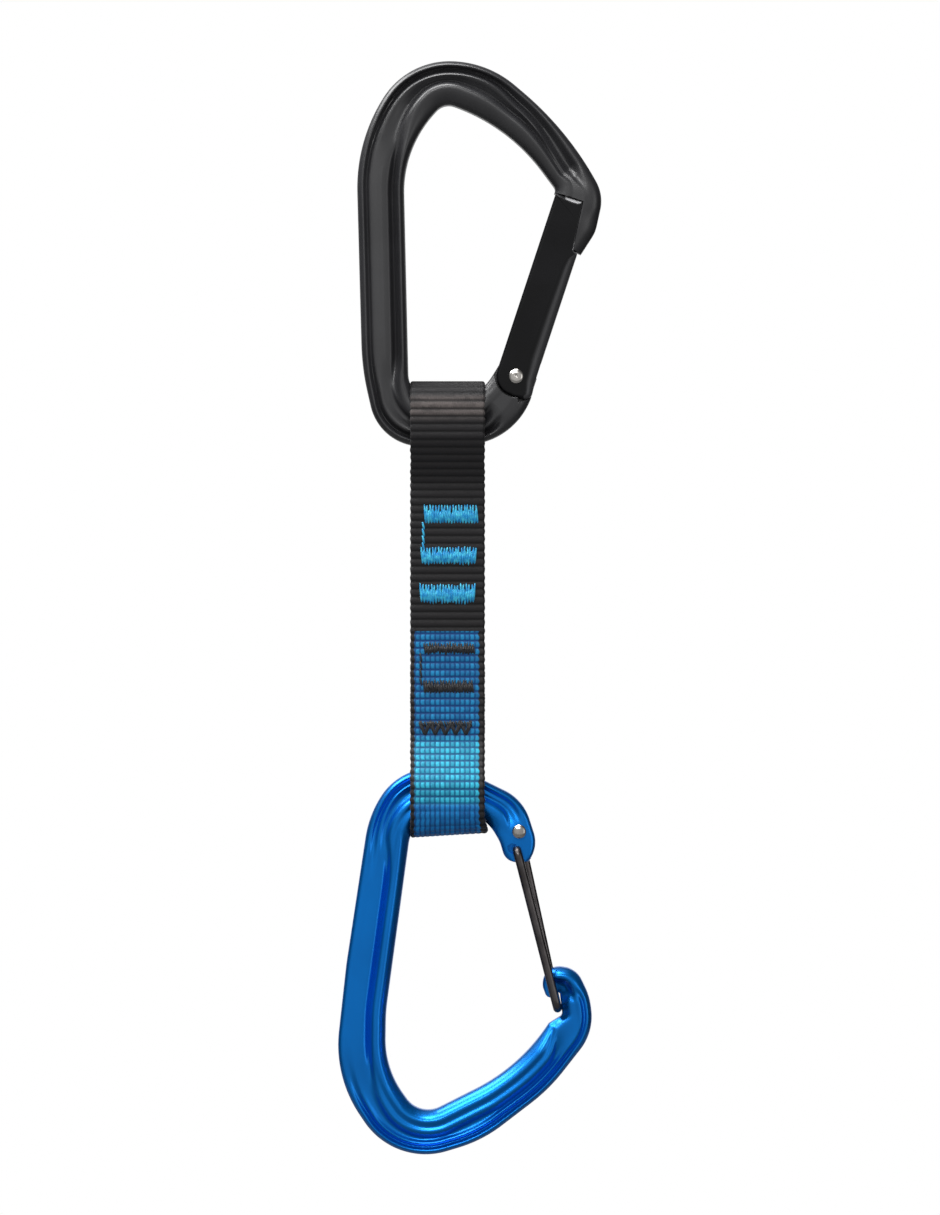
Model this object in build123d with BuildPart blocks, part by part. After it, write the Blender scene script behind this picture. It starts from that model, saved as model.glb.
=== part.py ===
from build123d import *
import os
from math import asin, atan2, cos, degrees, hypot, pi, radians, sin, sqrt, tan

os.makedirs("parts", exist_ok=True)

# A climbing quickdraw, hanging as it does in use. Millimetres; X to the right, Y away from
# the climber, Z up. The origin is the inner apex of the upper carabiner's top bow, where
# the bolt hanger bears. Both carabiners are flat in the XZ plane.

# ---------------------------------------------------------------- driving dimensions

# Outlines of the two frames: (x, z, corner radius), with an arc at each corner
UPPER_OUTER = [
    (-24.2, -9.5, 44.2),
    (-10.8, 11.7, 20.6),
    (10.3, 11.4, 26.6),
    (31.2, -6.3, 83.6),
    (41.1, -22.8, 11.9),
    (37.9, -32.7, 60.0),
    (18.3, -86.9, 18.7),
    (3.2, -89.9, 12.5),
    (-18.0, -89.5, 13.6),
    (-22.6, -69.2, 64.9),
]
UPPER_INNER = [
    (-11.8, -10.9, 30.5),
    (-1.0, 0.6, 4.3),
    (15.9, -5.5, 49.4),
    (28.3, -22.2, 1.6),
    (13.4, -68.4, 9.0),
    (8.0, -77.1, 15.1),
    (-10.2, -80.0, 8.2),
]
LOWER_OUTER = [
    (-20.8, -186.7, 27.6),
    (-13.0, -174.6, 15.9),
    (2.6, -174.2, 24.8),
    (19.8, -182.6, 12.7),
    (39.0, -243.4, 15.3),
    (26.7, -258.7, 48.0),
    (9.1, -272.2, 35.6),
    (-14.0, -279.2, 19.4),
    (-30.0, -255.4, 33.0),
    (-26.7, -225.6, 60.8),
]
LOWER_INNER = [
    (-9.6, -189.1, 8.9),
    (-0.6, -185.1, 10.0),
    (10.9, -187.5, 11.7),
    (27.6, -239.8, 1.6),
    (20.6, -252.0, 51.7),
    (-7.4, -266.1, 6.9),
    (-16.5, -253.4, 24.3),
    (-16.3, -238.3, 51.3),
]

# Width of the round inner rail, beyond each side of the inner outline
UPPER_RAIL = [5.4, 6.4, 4.8, 4.0, 4.4, 4.8, 3.8]
LOWER_RAIL = [5.0, 5.0, 3.8, 4.4, 6.2, 6.0, 4.6, 4.2]

# Forged section, from the outer edge inwards; half thicknesses run along Y
RAIL_HALF = 5.0  # round inner rail, which a rope or hanger bears on
RIB_HALF = 3.4  # flat middle panel, narrowing to a rib on the bows
WEB_HALF = 2.6  # floor of the valleys on both sides of the panel
BEAD_HALF = 3.7  # round bead along the outer edge
BEAD_WIDTH = 2.2
BEAD_ROUND, BEAD_BACK_ROUND = 1.3, 0.6  # its outer and inner edges
RAIL_ROUND, RAIL_BACK_ROUND = 2.6, 0.9  # its edge to the opening, and its edge to the panel
VALLEY_WIDTH = 0.9
WEB_INSET = 0.6  # the web stops inside the bead and the rail
CUT_HALF = 8.0  # half depth of the cuts that go right through a frame

# Upper gate, in its own axes: along the gate from the rivet, and across it, inwards
RIVET_X, RIVET_Z = 17.9, -71.4
GATE_TILT = 18.3  # degrees from vertical
GATE_HALF_WIDTH = 5.2
GATE_HALF = 4.3  # half thickness
GATE_ROUND = 1.9  # along the gate's two sides
GATE_TIP_R = 49.0  # from the rivet to the end of the tip
GATE_OPEN = 30.0  # degrees, inwards
NOSE_END = 36.2  # along the gate: the nose covers the gate's outer side from here
SHUT_TOP, SHUT_END = -2.3, -3.7  # across the gate: its shut face, at the tip and at the nose's end
SHUT_GAP = 0.25
TIP_GAP = 0.35  # between the gate's tip and the frame
EAR_SLOT_HALF = 2.05
EAR_SLOT_END = 5.4
TANG_HALF = 1.8
TANG_SHOULDER = 1.2  # along the gate: the frame's own end at the hinge
TANG_R = 4.2
TANG_TOP = 2.8  # flat that the plunger presses on
POCKET_R = 5.6  # recess in the frame round the ears
KEY_HEAD_R, KEY_NECK_HALF, KEY_CENTRE = 2.3, 1.2, 41.0
KEY_CLEARANCE = 0.25
KEY_INNER = 1.0  # across the gate: the key's inner face
RIVET_R, RIVET_HEAD_R, RIVET_HEAD_H = 1.3, 1.85, 0.75
RUNNING = 0.05  # radial clearance in the gate's ears
BORE_R, BORE_ACROSS, BORE_END = 1.56, 1.8, 24.0
PLUNGER_R, PLUNGER_END = 1.5, 10.0
SPRING_R, SPRING_HOLE_R = 1.45, 0.95

# Wire gate: two holes through the frame's pivot lobe, each side of the turning centre
WIRE_R = 1.15
PIVOT_X, PIVOT_Z = 18.4, -193.3
HOLE_A = (18.7, -190.9)  # the back leg passes through here
HOLE_B = (18.1, -195.7)  # the front leg passes through here
WIRE_END = (28.8, -237.4)  # closed end of the wire, behind the hook
LEG_HALF, END_HALF = 5.5, 3.9  # Y of the legs at the lobe and at the closed end
WIRE_OPEN = 30.0
HOLE_CLEARANCE = 0.1
SWAGE_R, SWAGE_H = 1.75, 0.8
LOBE_X, LOBE_Z, LOBE_R, LOBE_HALF = 18.3, -194.6, 4.4, 3.6
HOOK_THIN_HALF, HOOK_THICK_HALF = 2.3, 4.4

# Webbing
WEB_WIDTH = 19.5
WEB_X = -0.1  # the strip's centre line
LAYER = 1.6
SLAB_HALF = 1.5 * LAYER
UPPER_HINGE_Z, LOWER_HINGE_Z = -98.0, -168.0
COLOUR_Z = -138.3  # black above, blue below
HINGE_GAP = 0.4  # between a loop's legs and the round end of the sling
UPPER_CROWN_Z = -72.6  # outside of the loop, over the upper carabiner's lower bow
LOWER_CROWN_Z = -191.8  # outside of the loop, under the lower carabiner's upper bow
LOOP_GAP = 0.15  # between a loop, or the insert, and the side of the bar
LEG_BEND = 6.0  # radius where a loop's leg turns in towards the hinge
UPPER_LEG_Z, LOWER_LEG_Z = -87.0, -178.8  # the legs run straight along the bar from here
KEEPER = 0.9  # thickness of the rubber insert
KEEPER_GAP = 0.05
KEEPER_WIDTH, KEEPER_TOP_Z = 18.0, -180.0

# Bar tacks: (name, z of the centre, height, left x, right x)
TACKS = [
    ("blue_tack_upper", -107.6, 5.0, -6.2, 7.8),
    ("blue_tack_middle", -118.4, 4.8, -7.0, 7.4),
    ("blue_tack_lower", -128.4, 5.2, -7.3, 7.1),
    ("black_tack_upper", -142.8, 3.0, -6.3, 7.0),
    ("black_tack_middle", -152.8, 3.6, -6.4, 6.7),
    ("black_tack_lower", -163.3, 2.8, -7.3, 6.1),
]
TACK_PROUD = 0.35
TACK_ROW = 1.0  # thickness of the stitches where they pass through the layers
TACK_CLEARANCE = 0.05


# ---------------------------------------------------------------- shared construction


def outline(corners):
    """Closed face in the XZ plane with an arc at each corner."""
    points = [(x, z) for x, z, _ in corners]
    radii = [r for _, _, r in arcs_fitted(corners)]
    with BuildSketch(Plane.XZ) as shape:
        with BuildLine():
            FilletPolyline(*points, radius=radii, close=True)
        make_face()
    return shape.sketch


def grown(corners, widths):
    """The corners with side i, from corner i to the next, moved outwards by widths[i]."""
    count = len(corners)
    lines = []
    for i, (x, z, _) in enumerate(corners):
        next_x, next_z, _ = corners[(i + 1) % count]
        length = hypot(next_x - x, next_z - z)
        along_x, along_z = (next_x - x) / length, (next_z - z) / length
        # the corners run clockwise, so the outside is on the left
        lines.append((x - along_z * widths[i], z + along_x * widths[i], along_x, along_z))
    result = []
    for i, (_, _, radius) in enumerate(corners):
        x1, z1, dx1, dz1 = lines[i - 1]
        x2, z2, dx2, dz2 = lines[i]
        cross = dx1 * dz2 - dz1 * dx2
        step = ((x2 - x1) * dz2 - (z2 - z1) * dx2) / cross
        width = (widths[i - 1] + widths[i]) / 2
        result.append((x1 + dx1 * step, z1 + dz1 * step, radius + width))
    return arcs_fitted(result)


def arcs_fitted(corners):
    """The corners with radii reduced where two neighbouring arcs would overlap."""
    count = len(corners)
    sides = []
    for i, (x, z, _) in enumerate(corners):
        next_x, next_z, _ = corners[(i + 1) % count]
        sides.append((next_x - x, next_z - z, hypot(next_x - x, next_z - z)))
    tangents = []
    for i, (_, _, radius) in enumerate(corners):
        dx1, dz1, length1 = sides[i - 1]
        dx2, dz2, length2 = sides[i]
        turn = abs(asin((dx1 * dz2 - dz1 * dx2) / (length1 * length2)))
        if dx1 * dx2 + dz1 * dz2 < 0:
            turn = pi - turn
        tangents.append(radius * tan(turn / 2))
    room = [
        0.99 * sides[i][2] / (tangents[i] + tangents[(i + 1) % count]) for i in range(count)
    ]
    return [
        (x, z, radius * min(1, room[i - 1], room[i]))
        for i, (x, z, radius) in enumerate(corners)
    ]


def shifted(corners, amount):
    """The outline moved outwards by the same amount all round, or inwards where negative."""
    return grown(corners, [amount] * len(corners))


def ring(outside, inside, half, outer_round, inner_round):
    """Closed band between two outlines, with rounded edges on both faces."""
    with BuildPart() as band:
        extrude(outline(outside), amount=half, both=True)
        if outer_round:
            rims = band.faces().filter_by(Axis.Y).edges()
            fillet(rims, outer_round)
        with BuildPart(mode=Mode.PRIVATE) as hole:
            extrude(outline(inside), amount=2 * half, both=True)
        add(hole.part, mode=Mode.SUBTRACT)
        if inner_round:
            faces = band.faces().filter_by(GeomType.PLANE).filter_by(Axis.Y)
            wires = [face.inner_wires()[0] for face in faces]
            fillet([edge for wire in wires for edge in wire.edges()], inner_round)
    return band.part


def forged_ring(outer, inner, rail_widths):
    """Whole frame before its gate gap is cut: bead, valley, panel, groove and inner rail."""
    rail_edge = grown(inner, rail_widths)
    with BuildPart() as frame:
        add(ring(shifted(outer, -WEB_INSET), shifted(inner, WEB_INSET), WEB_HALF, 0, 0))
        add(ring(outer, shifted(outer, -BEAD_WIDTH), BEAD_HALF, BEAD_ROUND, BEAD_BACK_ROUND))
        panel_outside = shifted(outer, -BEAD_WIDTH - VALLEY_WIDTH)
        add(ring(panel_outside, shifted(rail_edge, VALLEY_WIDTH), RIB_HALF, 0, 0))
        add(ring(rail_edge, inner, RAIL_HALF, RAIL_BACK_ROUND, RAIL_ROUND))
    return frame.part


# ---------------------------------------------------------------- upper carabiner

tilt = radians(GATE_TILT)
gate_plane = Plane(
    origin=(RIVET_X, 0, RIVET_Z), x_dir=(sin(tilt), 0, cos(tilt)), z_dir=(0, -1, 0)
)
rivet_axis = Axis((RIVET_X, 0, RIVET_Z), (0, -1, 0))


def at_gate(along, across):
    """Point in the frame for a place in the gate's own axes."""
    return gate_plane.from_local_coords((along, across, 0))


def key(clearance, inner_face):
    """Keyhole bar of the nose lock, swept round the rivet so that the gate can leave it."""
    start = asin(-4.5 / KEY_CENTRE)
    end = asin(inner_face / KEY_CENTRE)
    direction = tilt - start
    profile_plane = Plane(
        origin=(RIVET_X, 0, RIVET_Z),
        x_dir=(sin(direction), 0, cos(direction)),
        z_dir=(-cos(direction), 0, sin(direction)),
    )
    with BuildPart() as bar:
        with BuildSketch(profile_plane):
            with Locations((KEY_CENTRE, 0)):
                Circle(KEY_HEAD_R + clearance)
            with Locations(((KEY_CENTRE + GATE_TIP_R + 2) / 2, 0)):
                Rectangle(GATE_TIP_R + 2 - KEY_CENTRE, 2 * (KEY_NECK_HALF + clearance))
        revolve(axis=rivet_axis, revolution_arc=degrees(end - start))
    return bar.part


# The frame's gap for the gate, and the nose that stays outside it
opening_r = GATE_TIP_R + TIP_GAP
with BuildPart() as gate_gap:
    with BuildSketch(gate_plane):
        with BuildLine():
            shut_face = Line(
                (opening_r + 1, SHUT_TOP - SHUT_GAP), (NOSE_END, SHUT_END - SHUT_GAP)
            )
            nose_bottom = Line(shut_face @ 1, (NOSE_END - 1.0, -9))
            swing_side = Polyline(
                nose_bottom @ 1, (TANG_SHOULDER, -9), (TANG_SHOULDER, 14), (opening_r + 1, 14)
            )
            Line(swing_side @ 1, shut_face @ 0)
        make_face()
        Circle(opening_r, mode=Mode.INTERSECT)
    extrude(amount=CUT_HALF, both=True)

with BuildPart() as ear_pocket:
    for side in (-1, 1):
        with BuildSketch(gate_plane.offset(side * TANG_HALF)):
            Circle(POCKET_R)
            # room for the straight inner side of the ears when the gate is open
            with Locations(Rot(Z=GATE_OPEN)):
                with Locations((4, 0)):
                    Rectangle(8, 2 * POCKET_R + 0.1)
        extrude(amount=side * CUT_HALF)

with BuildPart() as upper_frame:
    add(forged_ring(UPPER_OUTER, UPPER_INNER, UPPER_RAIL))
    add(gate_gap.part, mode=Mode.SUBTRACT)
    # solid end of the arm and the nose beside the gate
    with BuildSketch(gate_plane):
        with BuildLine():
            Polyline(
                (opening_r + 5, 3.0),
                (opening_r + 0.2, 3.0),
                (opening_r, SHUT_TOP - SHUT_GAP),
                (NOSE_END + 0.2, SHUT_END - SHUT_GAP),
                (NOSE_END - 0.2, -5.4),
                (40.0, -6.6),
                (46.0, -6.6),
                (50.5, -4.6),
                (opening_r + 5, 3.0),
            )
        make_face()
    extrude(amount=RIB_HALF, both=True)
    add(key(0, KEY_INNER))
    # tang between the gate's ears, with its flat for the plunger
    with BuildSketch(gate_plane):
        Circle(TANG_R)
        with BuildLine():
            Polyline((TANG_TOP, 0), (TANG_TOP, 4.4), (2.0, 4.9), (-2, 5.0), (-2, 0), close=True)
        make_face()
        with Locations((TANG_TOP + 2, 0)):
            Rectangle(4, 12, mode=Mode.SUBTRACT)
    extrude(amount=RIB_HALF, both=True)
    add(ear_pocket.part, mode=Mode.SUBTRACT)
    with BuildSketch(gate_plane):
        Circle(RIVET_R)
    extrude(amount=CUT_HALF, both=True, mode=Mode.SUBTRACT)
upper_frame.part.label = "upper_frame"


with BuildPart() as upper_gate:
    with BuildSketch(gate_plane):
        with BuildLine():
            tip_u = sqrt(GATE_TIP_R**2 - GATE_HALF_WIDTH**2)
            inner_side = Line((0, GATE_HALF_WIDTH), (tip_u, GATE_HALF_WIDTH))
            tip_out = (sqrt(GATE_TIP_R**2 - SHUT_TOP**2), SHUT_TOP)
            RadiusArc(inner_side @ 1, tip_out, -GATE_TIP_R)
            shut = Line(tip_out, (NOSE_END - 0.2, SHUT_END))
            step = Line(shut @ 1, (NOSE_END - 0.8, -GATE_HALF_WIDTH))
            outer_side = Line(step @ 1, (0, -GATE_HALF_WIDTH))
            ThreePointArc(outer_side @ 1, (-GATE_HALF_WIDTH, 0), (0, GATE_HALF_WIDTH))
        make_face()
    extrude(amount=GATE_HALF, both=True)
    # one fillet runs down the outer side, round the lobe and up the inner side
    outer_side_edges = [
        edge
        for edge in upper_gate.edges().filter_by(GeomType.LINE)
        if abs(edge.tangent_at(0.5).dot(gate_plane.x_dir)) > 0.999
        and gate_plane.to_local_coords(edge.center()).Y < 0.1 - GATE_HALF_WIDTH
    ]
    fillet(outer_side_edges, GATE_ROUND)
    # slot between the ears
    with BuildSketch(gate_plane):
        with Locations((EAR_SLOT_END - 6, 0)):
            Rectangle(12, 14)
    extrude(amount=EAR_SLOT_HALF, both=True, mode=Mode.SUBTRACT)
    # rivet hole in the ears
    with BuildSketch(gate_plane):
        Circle(RIVET_R + RUNNING)
    extrude(amount=CUT_HALF, both=True, mode=Mode.SUBTRACT)
    # keyhole slot at the tip, open towards the nose
    add(key(KEY_CLEARANCE, KEY_INNER + 0.4), mode=Mode.SUBTRACT)
    # bore for the spring and the plunger
    bore_plane = Plane(
        origin=at_gate(0, BORE_ACROSS), x_dir=(0, 1, 0), z_dir=gate_plane.x_dir
    )
    with BuildSketch(bore_plane):
        Circle(BORE_R)
    extrude(amount=BORE_END, mode=Mode.SUBTRACT)
upper_gate.part.label = "upper_gate"

with BuildPart() as upper_gate_rivet:
    head_y = GATE_HALF + 0.05
    with BuildSketch(Plane(origin=(RIVET_X, 0, RIVET_Z), x_dir=(1, 0, 0), z_dir=(0, 0, 1))):
        with BuildLine():
            for side in (-1, 1):
                y = side * head_y
                rim = (RIVET_HEAD_R, y + side * 0.3)
                shoulder = (0.76 * RIVET_HEAD_R, y + side * 0.8 * RIVET_HEAD_H)
                crown = (0.3 * RIVET_HEAD_R, y + side * RIVET_HEAD_H)
                dimple = (0, y + side * 0.7 * RIVET_HEAD_H)
                Polyline((RIVET_R, 0), (RIVET_R, y), (RIVET_HEAD_R, y), rim)
                ThreePointArc(rim, shoulder, crown)
                Polyline(crown, dimple, (0, 0))
        make_face()
    revolve(axis=rivet_axis)
upper_gate_rivet.part.label = "upper_gate_rivet"

with BuildPart() as upper_gate_plunger:
    tip_z = TANG_TOP + 0.02
    with BuildSketch(bore_plane.offset(tip_z + PLUNGER_R)):
        Circle(PLUNGER_R)
    extrude(amount=PLUNGER_END - tip_z - PLUNGER_R)
    with Locations(bore_plane.offset(tip_z + PLUNGER_R)):
        Sphere(PLUNGER_R)
upper_gate_plunger.part.label = "upper_gate_plunger"

with BuildPart() as upper_gate_spring:
    with BuildSketch(bore_plane.offset(PLUNGER_END)):
        Circle(SPRING_R)
        Circle(SPRING_HOLE_R, mode=Mode.SUBTRACT)
    extrude(amount=BORE_END - PLUNGER_END)
upper_gate_spring.part.label = "upper_gate_spring"

# ---------------------------------------------------------------- lower carabiner

wire_reach = hypot(WIRE_END[0] - PIVOT_X, WIRE_END[1] - PIVOT_Z)
sweep_clearance = 0.4

# Hook: outside of the arch, then the tip, the throat behind it and the arm
HOOK = [
    (37.6, -242.0, 0.5),
    (37.2, -234.5, 6.0),
    (33.9, -226.4, 6.0),
    (25.0, -225.2, 4.4),
    (24.6, -236.0, 1.4),
    (27.9, -236.6, 0.6),
    (28.3, -231.3, 1.0),
    (30.7, -231.3, 1.1),
    (30.8, -239.6, 2.4),
    (23.9, -241.6, 2.0),
    (28.0, -247.5, 1.0),
]
# the hook is thick only to the right of the wire's legs
THICK_LEFT = [(30.6, -242.5), (30.5, -234.0), (28.9, -229.0), (27.5, -225.0)]

with BuildPart() as lower_frame:
    add(forged_ring(LOWER_OUTER, LOWER_INNER, LOWER_RAIL))
    # the gap for the gate, from the lobe down to the arm below the hook
    with BuildSketch(Plane.XZ):
        with BuildLine():
            Polyline(
                (8.0, -195.4), (13.6, -191.6), (26.0, -191.6), (45.0, -214.0), (45.0, -240.5),
                (37.4, -242.2), (30.8, -240.6), (20.0, -240.6), (8.0, -225.0), close=True,
            )
        make_face()
    extrude(amount=CUT_HALF, both=True, mode=Mode.SUBTRACT)
    with BuildSketch(Plane.XZ):
        with Locations((PIVOT_X, PIVOT_Z)):
            Circle(wire_reach + WIRE_R + sweep_clearance)
        with Locations((30.8 + 30, PIVOT_Z - 30)):
            Rectangle(60, 90, mode=Mode.SUBTRACT)
        with Locations((PIVOT_X, PIVOT_Z)):
            Rectangle(120, 60, mode=Mode.SUBTRACT)
        with Locations((-20, -230)):
            Rectangle(60, 120, mode=Mode.SUBTRACT)
    extrude(amount=CUT_HALF, both=True, mode=Mode.SUBTRACT)
    # pivot lobe
    with BuildSketch(Plane.XZ):
        with Locations((LOBE_X, LOBE_Z)):
            Circle(LOBE_R)
        with BuildLine():
            Polyline(
                (LOBE_X - LOBE_R, LOBE_Z), (LOBE_X + LOBE_R, LOBE_Z),
                (LOBE_X + LOBE_R - 0.2, -188.5), (LOBE_X - 2.0, -186.0), (12.6, -190.2),
                close=True,
            )
        make_face()
    extrude(amount=LOBE_HALF, both=True)
    # the lobe is thinner than the bow, for the wire's legs
    for side in (-1, 1):
        with BuildSketch(Plane.XZ.offset(side * LOBE_HALF)):
            with BuildLine():
                Polyline(
                    (10.0, -189.4), (15.2, -188.3), (19.0, -186.8), (26.0, -186.4),
                    (26.0, -201.0), (10.0, -201.0), close=True,
                )
            make_face()
        extrude(amount=side * 4, mode=Mode.SUBTRACT)
    # hook: thin where the wire's legs straddle it, thick behind them
    extrude(outline(HOOK), amount=HOOK_THIN_HALF, both=True)
    with BuildPart(mode=Mode.PRIVATE) as hook_back:
        extrude(outline(HOOK), amount=HOOK_THICK_HALF, both=True)
        with BuildSketch(Plane.XZ):
            with BuildLine():
                Polyline(*THICK_LEFT, (10.0, -225.0), (10.0, -242.5), close=True)
            make_face()
        extrude(amount=CUT_HALF, both=True, mode=Mode.SUBTRACT)
    add(hook_back.part)
    # slotted holes for the wire's two ends
    for hole_x, hole_z in (HOLE_A, HOLE_B):
        hole_r = hypot(hole_x - PIVOT_X, hole_z - PIVOT_Z)
        first = degrees(atan2(hole_z - PIVOT_Z, hole_x - PIVOT_X))
        with BuildSketch(Plane.XZ):
            with BuildLine(mode=Mode.PRIVATE) as swing:
                CenterArc((PIVOT_X, PIVOT_Z), hole_r, first, -WIRE_OPEN)
            SlotArc(swing.line.edge(), 2 * (WIRE_R + HOLE_CLEARANCE))
        extrude(amount=CUT_HALF, both=True, mode=Mode.SUBTRACT)
lower_frame.part.label = "lower_frame"

with BuildPart() as wire_gate:
    swage_y = LOBE_HALF + 0.1 + SWAGE_H
    with BuildLine() as wire_path:
        FilletPolyline(
            (HOLE_A[0], -swage_y, HOLE_A[1]),
            (HOLE_A[0], LEG_HALF, HOLE_A[1]),
            (WIRE_END[0], END_HALF, WIRE_END[1]),
            (WIRE_END[0], -END_HALF, WIRE_END[1]),
            (HOLE_B[0], -LEG_HALF, HOLE_B[1]),
            (HOLE_B[0], swage_y, HOLE_B[1]),
            radius=[1.8, 2.3, 2.3, 1.8],
        )
    with BuildSketch(Plane(origin=wire_path.line @ 0, z_dir=wire_path.line % 0)):
        Circle(WIRE_R)
    sweep(path=wire_path.line)
    for (hole_x, hole_z), side in ((HOLE_A, -1), (HOLE_B, 1)):
        head_plane = Plane(
            origin=(hole_x, side * (LOBE_HALF + 0.1), hole_z),
            x_dir=(1, 0, 0),
            z_dir=(0, side, 0),
        )
        with BuildSketch(head_plane):
            Circle(SWAGE_R)
        extrude(amount=SWAGE_H, taper=12)
wire_gate.part.label = "wire_gate"

# ---------------------------------------------------------------- webbing


def band(points, radii, thickness, width):
    """Strip of webbing along a path in the YZ plane, as wide along X as the webbing."""
    with BuildPart() as strip:
        with BuildLine(Plane.YZ) as path:
            FilletPolyline(*points, radius=radii)
        start = path.line @ 0
        with BuildSketch(Plane(origin=(WEB_X, start.Y, start.Z), x_dir=(1, 0, 0),
                               z_dir=path.line % 0)):
            Rectangle(width, thickness)
        sweep(path=path.line)
    return strip.part


def loop_points(hinge_z, crown_z, half, straight_from):
    """Middle line of a loop whose inside is `half` from the middle: a leg, the crown, a leg."""
    sign = 1 if crown_z > hinge_z else -1
    leg_end_z = hinge_z + sign * (SLAB_HALF + HINGE_GAP)
    side_y = half + LAYER / 2
    top_z = crown_z - sign * LAYER / 2
    return [
        (-LAYER, leg_end_z),
        (-side_y, straight_from),
        (-side_y, top_z),
        (side_y, top_z),
        (side_y, straight_from),
        (LAYER, leg_end_z),
    ]


upper_side = RAIL_HALF + LOOP_GAP
upper_turn = upper_side + LAYER / 2 - 0.3
with BuildPart() as upper_loop:
    add(
        band(
            loop_points(UPPER_HINGE_Z, UPPER_CROWN_Z, upper_side, UPPER_LEG_Z),
            [LEG_BEND, upper_turn, upper_turn, LEG_BEND],
            LAYER,
            WEB_WIDTH,
        )
    )
    add(upper_frame.part, mode=Mode.SUBTRACT)
upper_loop.part.label = "upper_loop"

lower_side = RAIL_HALF + LOOP_GAP + KEEPER + KEEPER_GAP
lower_turn = lower_side + LAYER / 2 - 0.3
with BuildPart() as lower_loop:
    add(
        band(
            loop_points(LOWER_HINGE_Z, LOWER_CROWN_Z, lower_side, LOWER_LEG_Z),
            [LEG_BEND, lower_turn, lower_turn, LEG_BEND],
            LAYER,
            WEB_WIDTH,
        )
    )
    add(lower_frame.part, mode=Mode.SUBTRACT)
lower_loop.part.label = "lower_loop"

with BuildPart() as lower_keeper:
    keeper_y = lower_side - KEEPER_GAP - KEEPER / 2
    keeper_z = LOWER_CROWN_Z + LAYER + KEEPER_GAP + KEEPER / 2
    add(
        band(
            [(-keeper_y, KEEPER_TOP_Z), (-keeper_y, keeper_z), (keeper_y, keeper_z),
             (keeper_y, KEEPER_TOP_Z)],
            [keeper_y - 0.3, keeper_y - 0.3],
            KEEPER,
            KEEPER_WIDTH,
        )
    )
    add(lower_frame.part, mode=Mode.SUBTRACT)
lower_keeper.part.label = "lower_keeper"

# The sling: its outline from the side has a round end at each hinge
sling_length = UPPER_HINGE_Z - LOWER_HINGE_Z
sling_middle = (UPPER_HINGE_Z + LOWER_HINGE_Z) / 2
side_plane = Plane(origin=(WEB_X, 0, 0), x_dir=(0, 1, 0), z_dir=(1, 0, 0))
sling_top = UPPER_HINGE_Z + SLAB_HALF
sling_bottom = LOWER_HINGE_Z - SLAB_HALF


def tack_block(z, height, left, right, grow):
    """Stitches through all the layers, with a pad proud of both faces."""
    width = right - left + 2 * grow
    middle = (left + right) / 2
    with BuildPart() as block:
        with BuildSketch(Plane.XZ):
            with Locations((middle, z)):
                Rectangle(width, TACK_ROW + 2 * grow)
        extrude(amount=SLAB_HALF + TACK_PROUD / 2, both=True)
        for side in (-1, 1):
            with BuildSketch(Plane.XZ.offset(side * SLAB_HALF)):
                with Locations((middle, z)):
                    RectangleRounded(width, height + 2 * grow, 0.8)
            extrude(amount=side * TACK_PROUD)
    return block.part


tack_holes = [
    Pos((left + right) / 2, 0, z)
    * Box(right - left + 2 * TACK_CLEARANCE, 3 * SLAB_HALF, TACK_ROW + 2 * TACK_CLEARANCE)
    for _, z, _, left, right in TACKS
]


def layer(y_middle, z_top, z_bottom):
    """One layer of the sling between two heights, slotted for the bar tacks."""
    with BuildPart() as strip:
        with BuildSketch(side_plane):
            with Locations((0, sling_middle)):
                SlotCenterToCenter(sling_length, 2 * SLAB_HALF, rotation=90)
            with Locations((y_middle, (z_top + z_bottom) / 2)):
                Rectangle(LAYER, z_top - z_bottom, mode=Mode.INTERSECT)
        extrude(amount=WEB_WIDTH / 2, both=True)
        for hole in tack_holes:
            add(hole, mode=Mode.SUBTRACT)
    return strip.part


strips = {
    "front_webbing_black": layer(-LAYER, sling_top, COLOUR_Z),
    "front_webbing_blue": layer(-LAYER, COLOUR_Z, sling_bottom),
    "back_webbing_black": layer(LAYER, sling_top, COLOUR_Z),
    "back_webbing_blue": layer(LAYER, COLOUR_Z, sling_bottom),
    "inner_tail": layer(0, sling_top, sling_bottom),
}

# ---------------------------------------------------------------- written parts

pieces = [
    upper_frame.part,
    upper_gate.part,
    upper_gate_rivet.part,
    upper_gate_plunger.part,
    upper_gate_spring.part,
    lower_frame.part,
    wire_gate.part,
    upper_loop.part,
    lower_loop.part,
    lower_keeper.part,
]
for name, strip in strips.items():
    strip.label = name
    pieces.append(strip)
for name, z, height, left, right in TACKS:
    tack = tack_block(z, height, left, right, 0)
    tack.label = name
    pieces.append(tack)

for piece in pieces:
    export_step(piece, f"parts/{piece.label}.step")
    print(f"{piece.label:24s} {piece.volume:9.1f} mm3  solids {len(piece.solids())}")
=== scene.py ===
from math import atan2, ceil, cos, hypot, pi, radians, sin, tan

import bmesh
import bpy
import numpy as np
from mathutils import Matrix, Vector


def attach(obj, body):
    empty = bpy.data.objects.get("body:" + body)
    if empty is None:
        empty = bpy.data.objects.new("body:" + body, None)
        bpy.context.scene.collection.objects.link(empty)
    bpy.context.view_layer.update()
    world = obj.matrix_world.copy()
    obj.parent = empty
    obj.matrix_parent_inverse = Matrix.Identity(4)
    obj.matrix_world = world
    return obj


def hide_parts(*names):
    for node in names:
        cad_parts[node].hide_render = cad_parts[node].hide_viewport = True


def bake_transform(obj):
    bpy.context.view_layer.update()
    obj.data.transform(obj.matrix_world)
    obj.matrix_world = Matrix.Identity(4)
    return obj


# A climbing quickdraw. Shapes below are in millimetres in the CAD model's frame (X right,
# Y away from the viewer, Z up, origin at the upper bow's inner apex), and become metres
# as their meshes are made.

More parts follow.
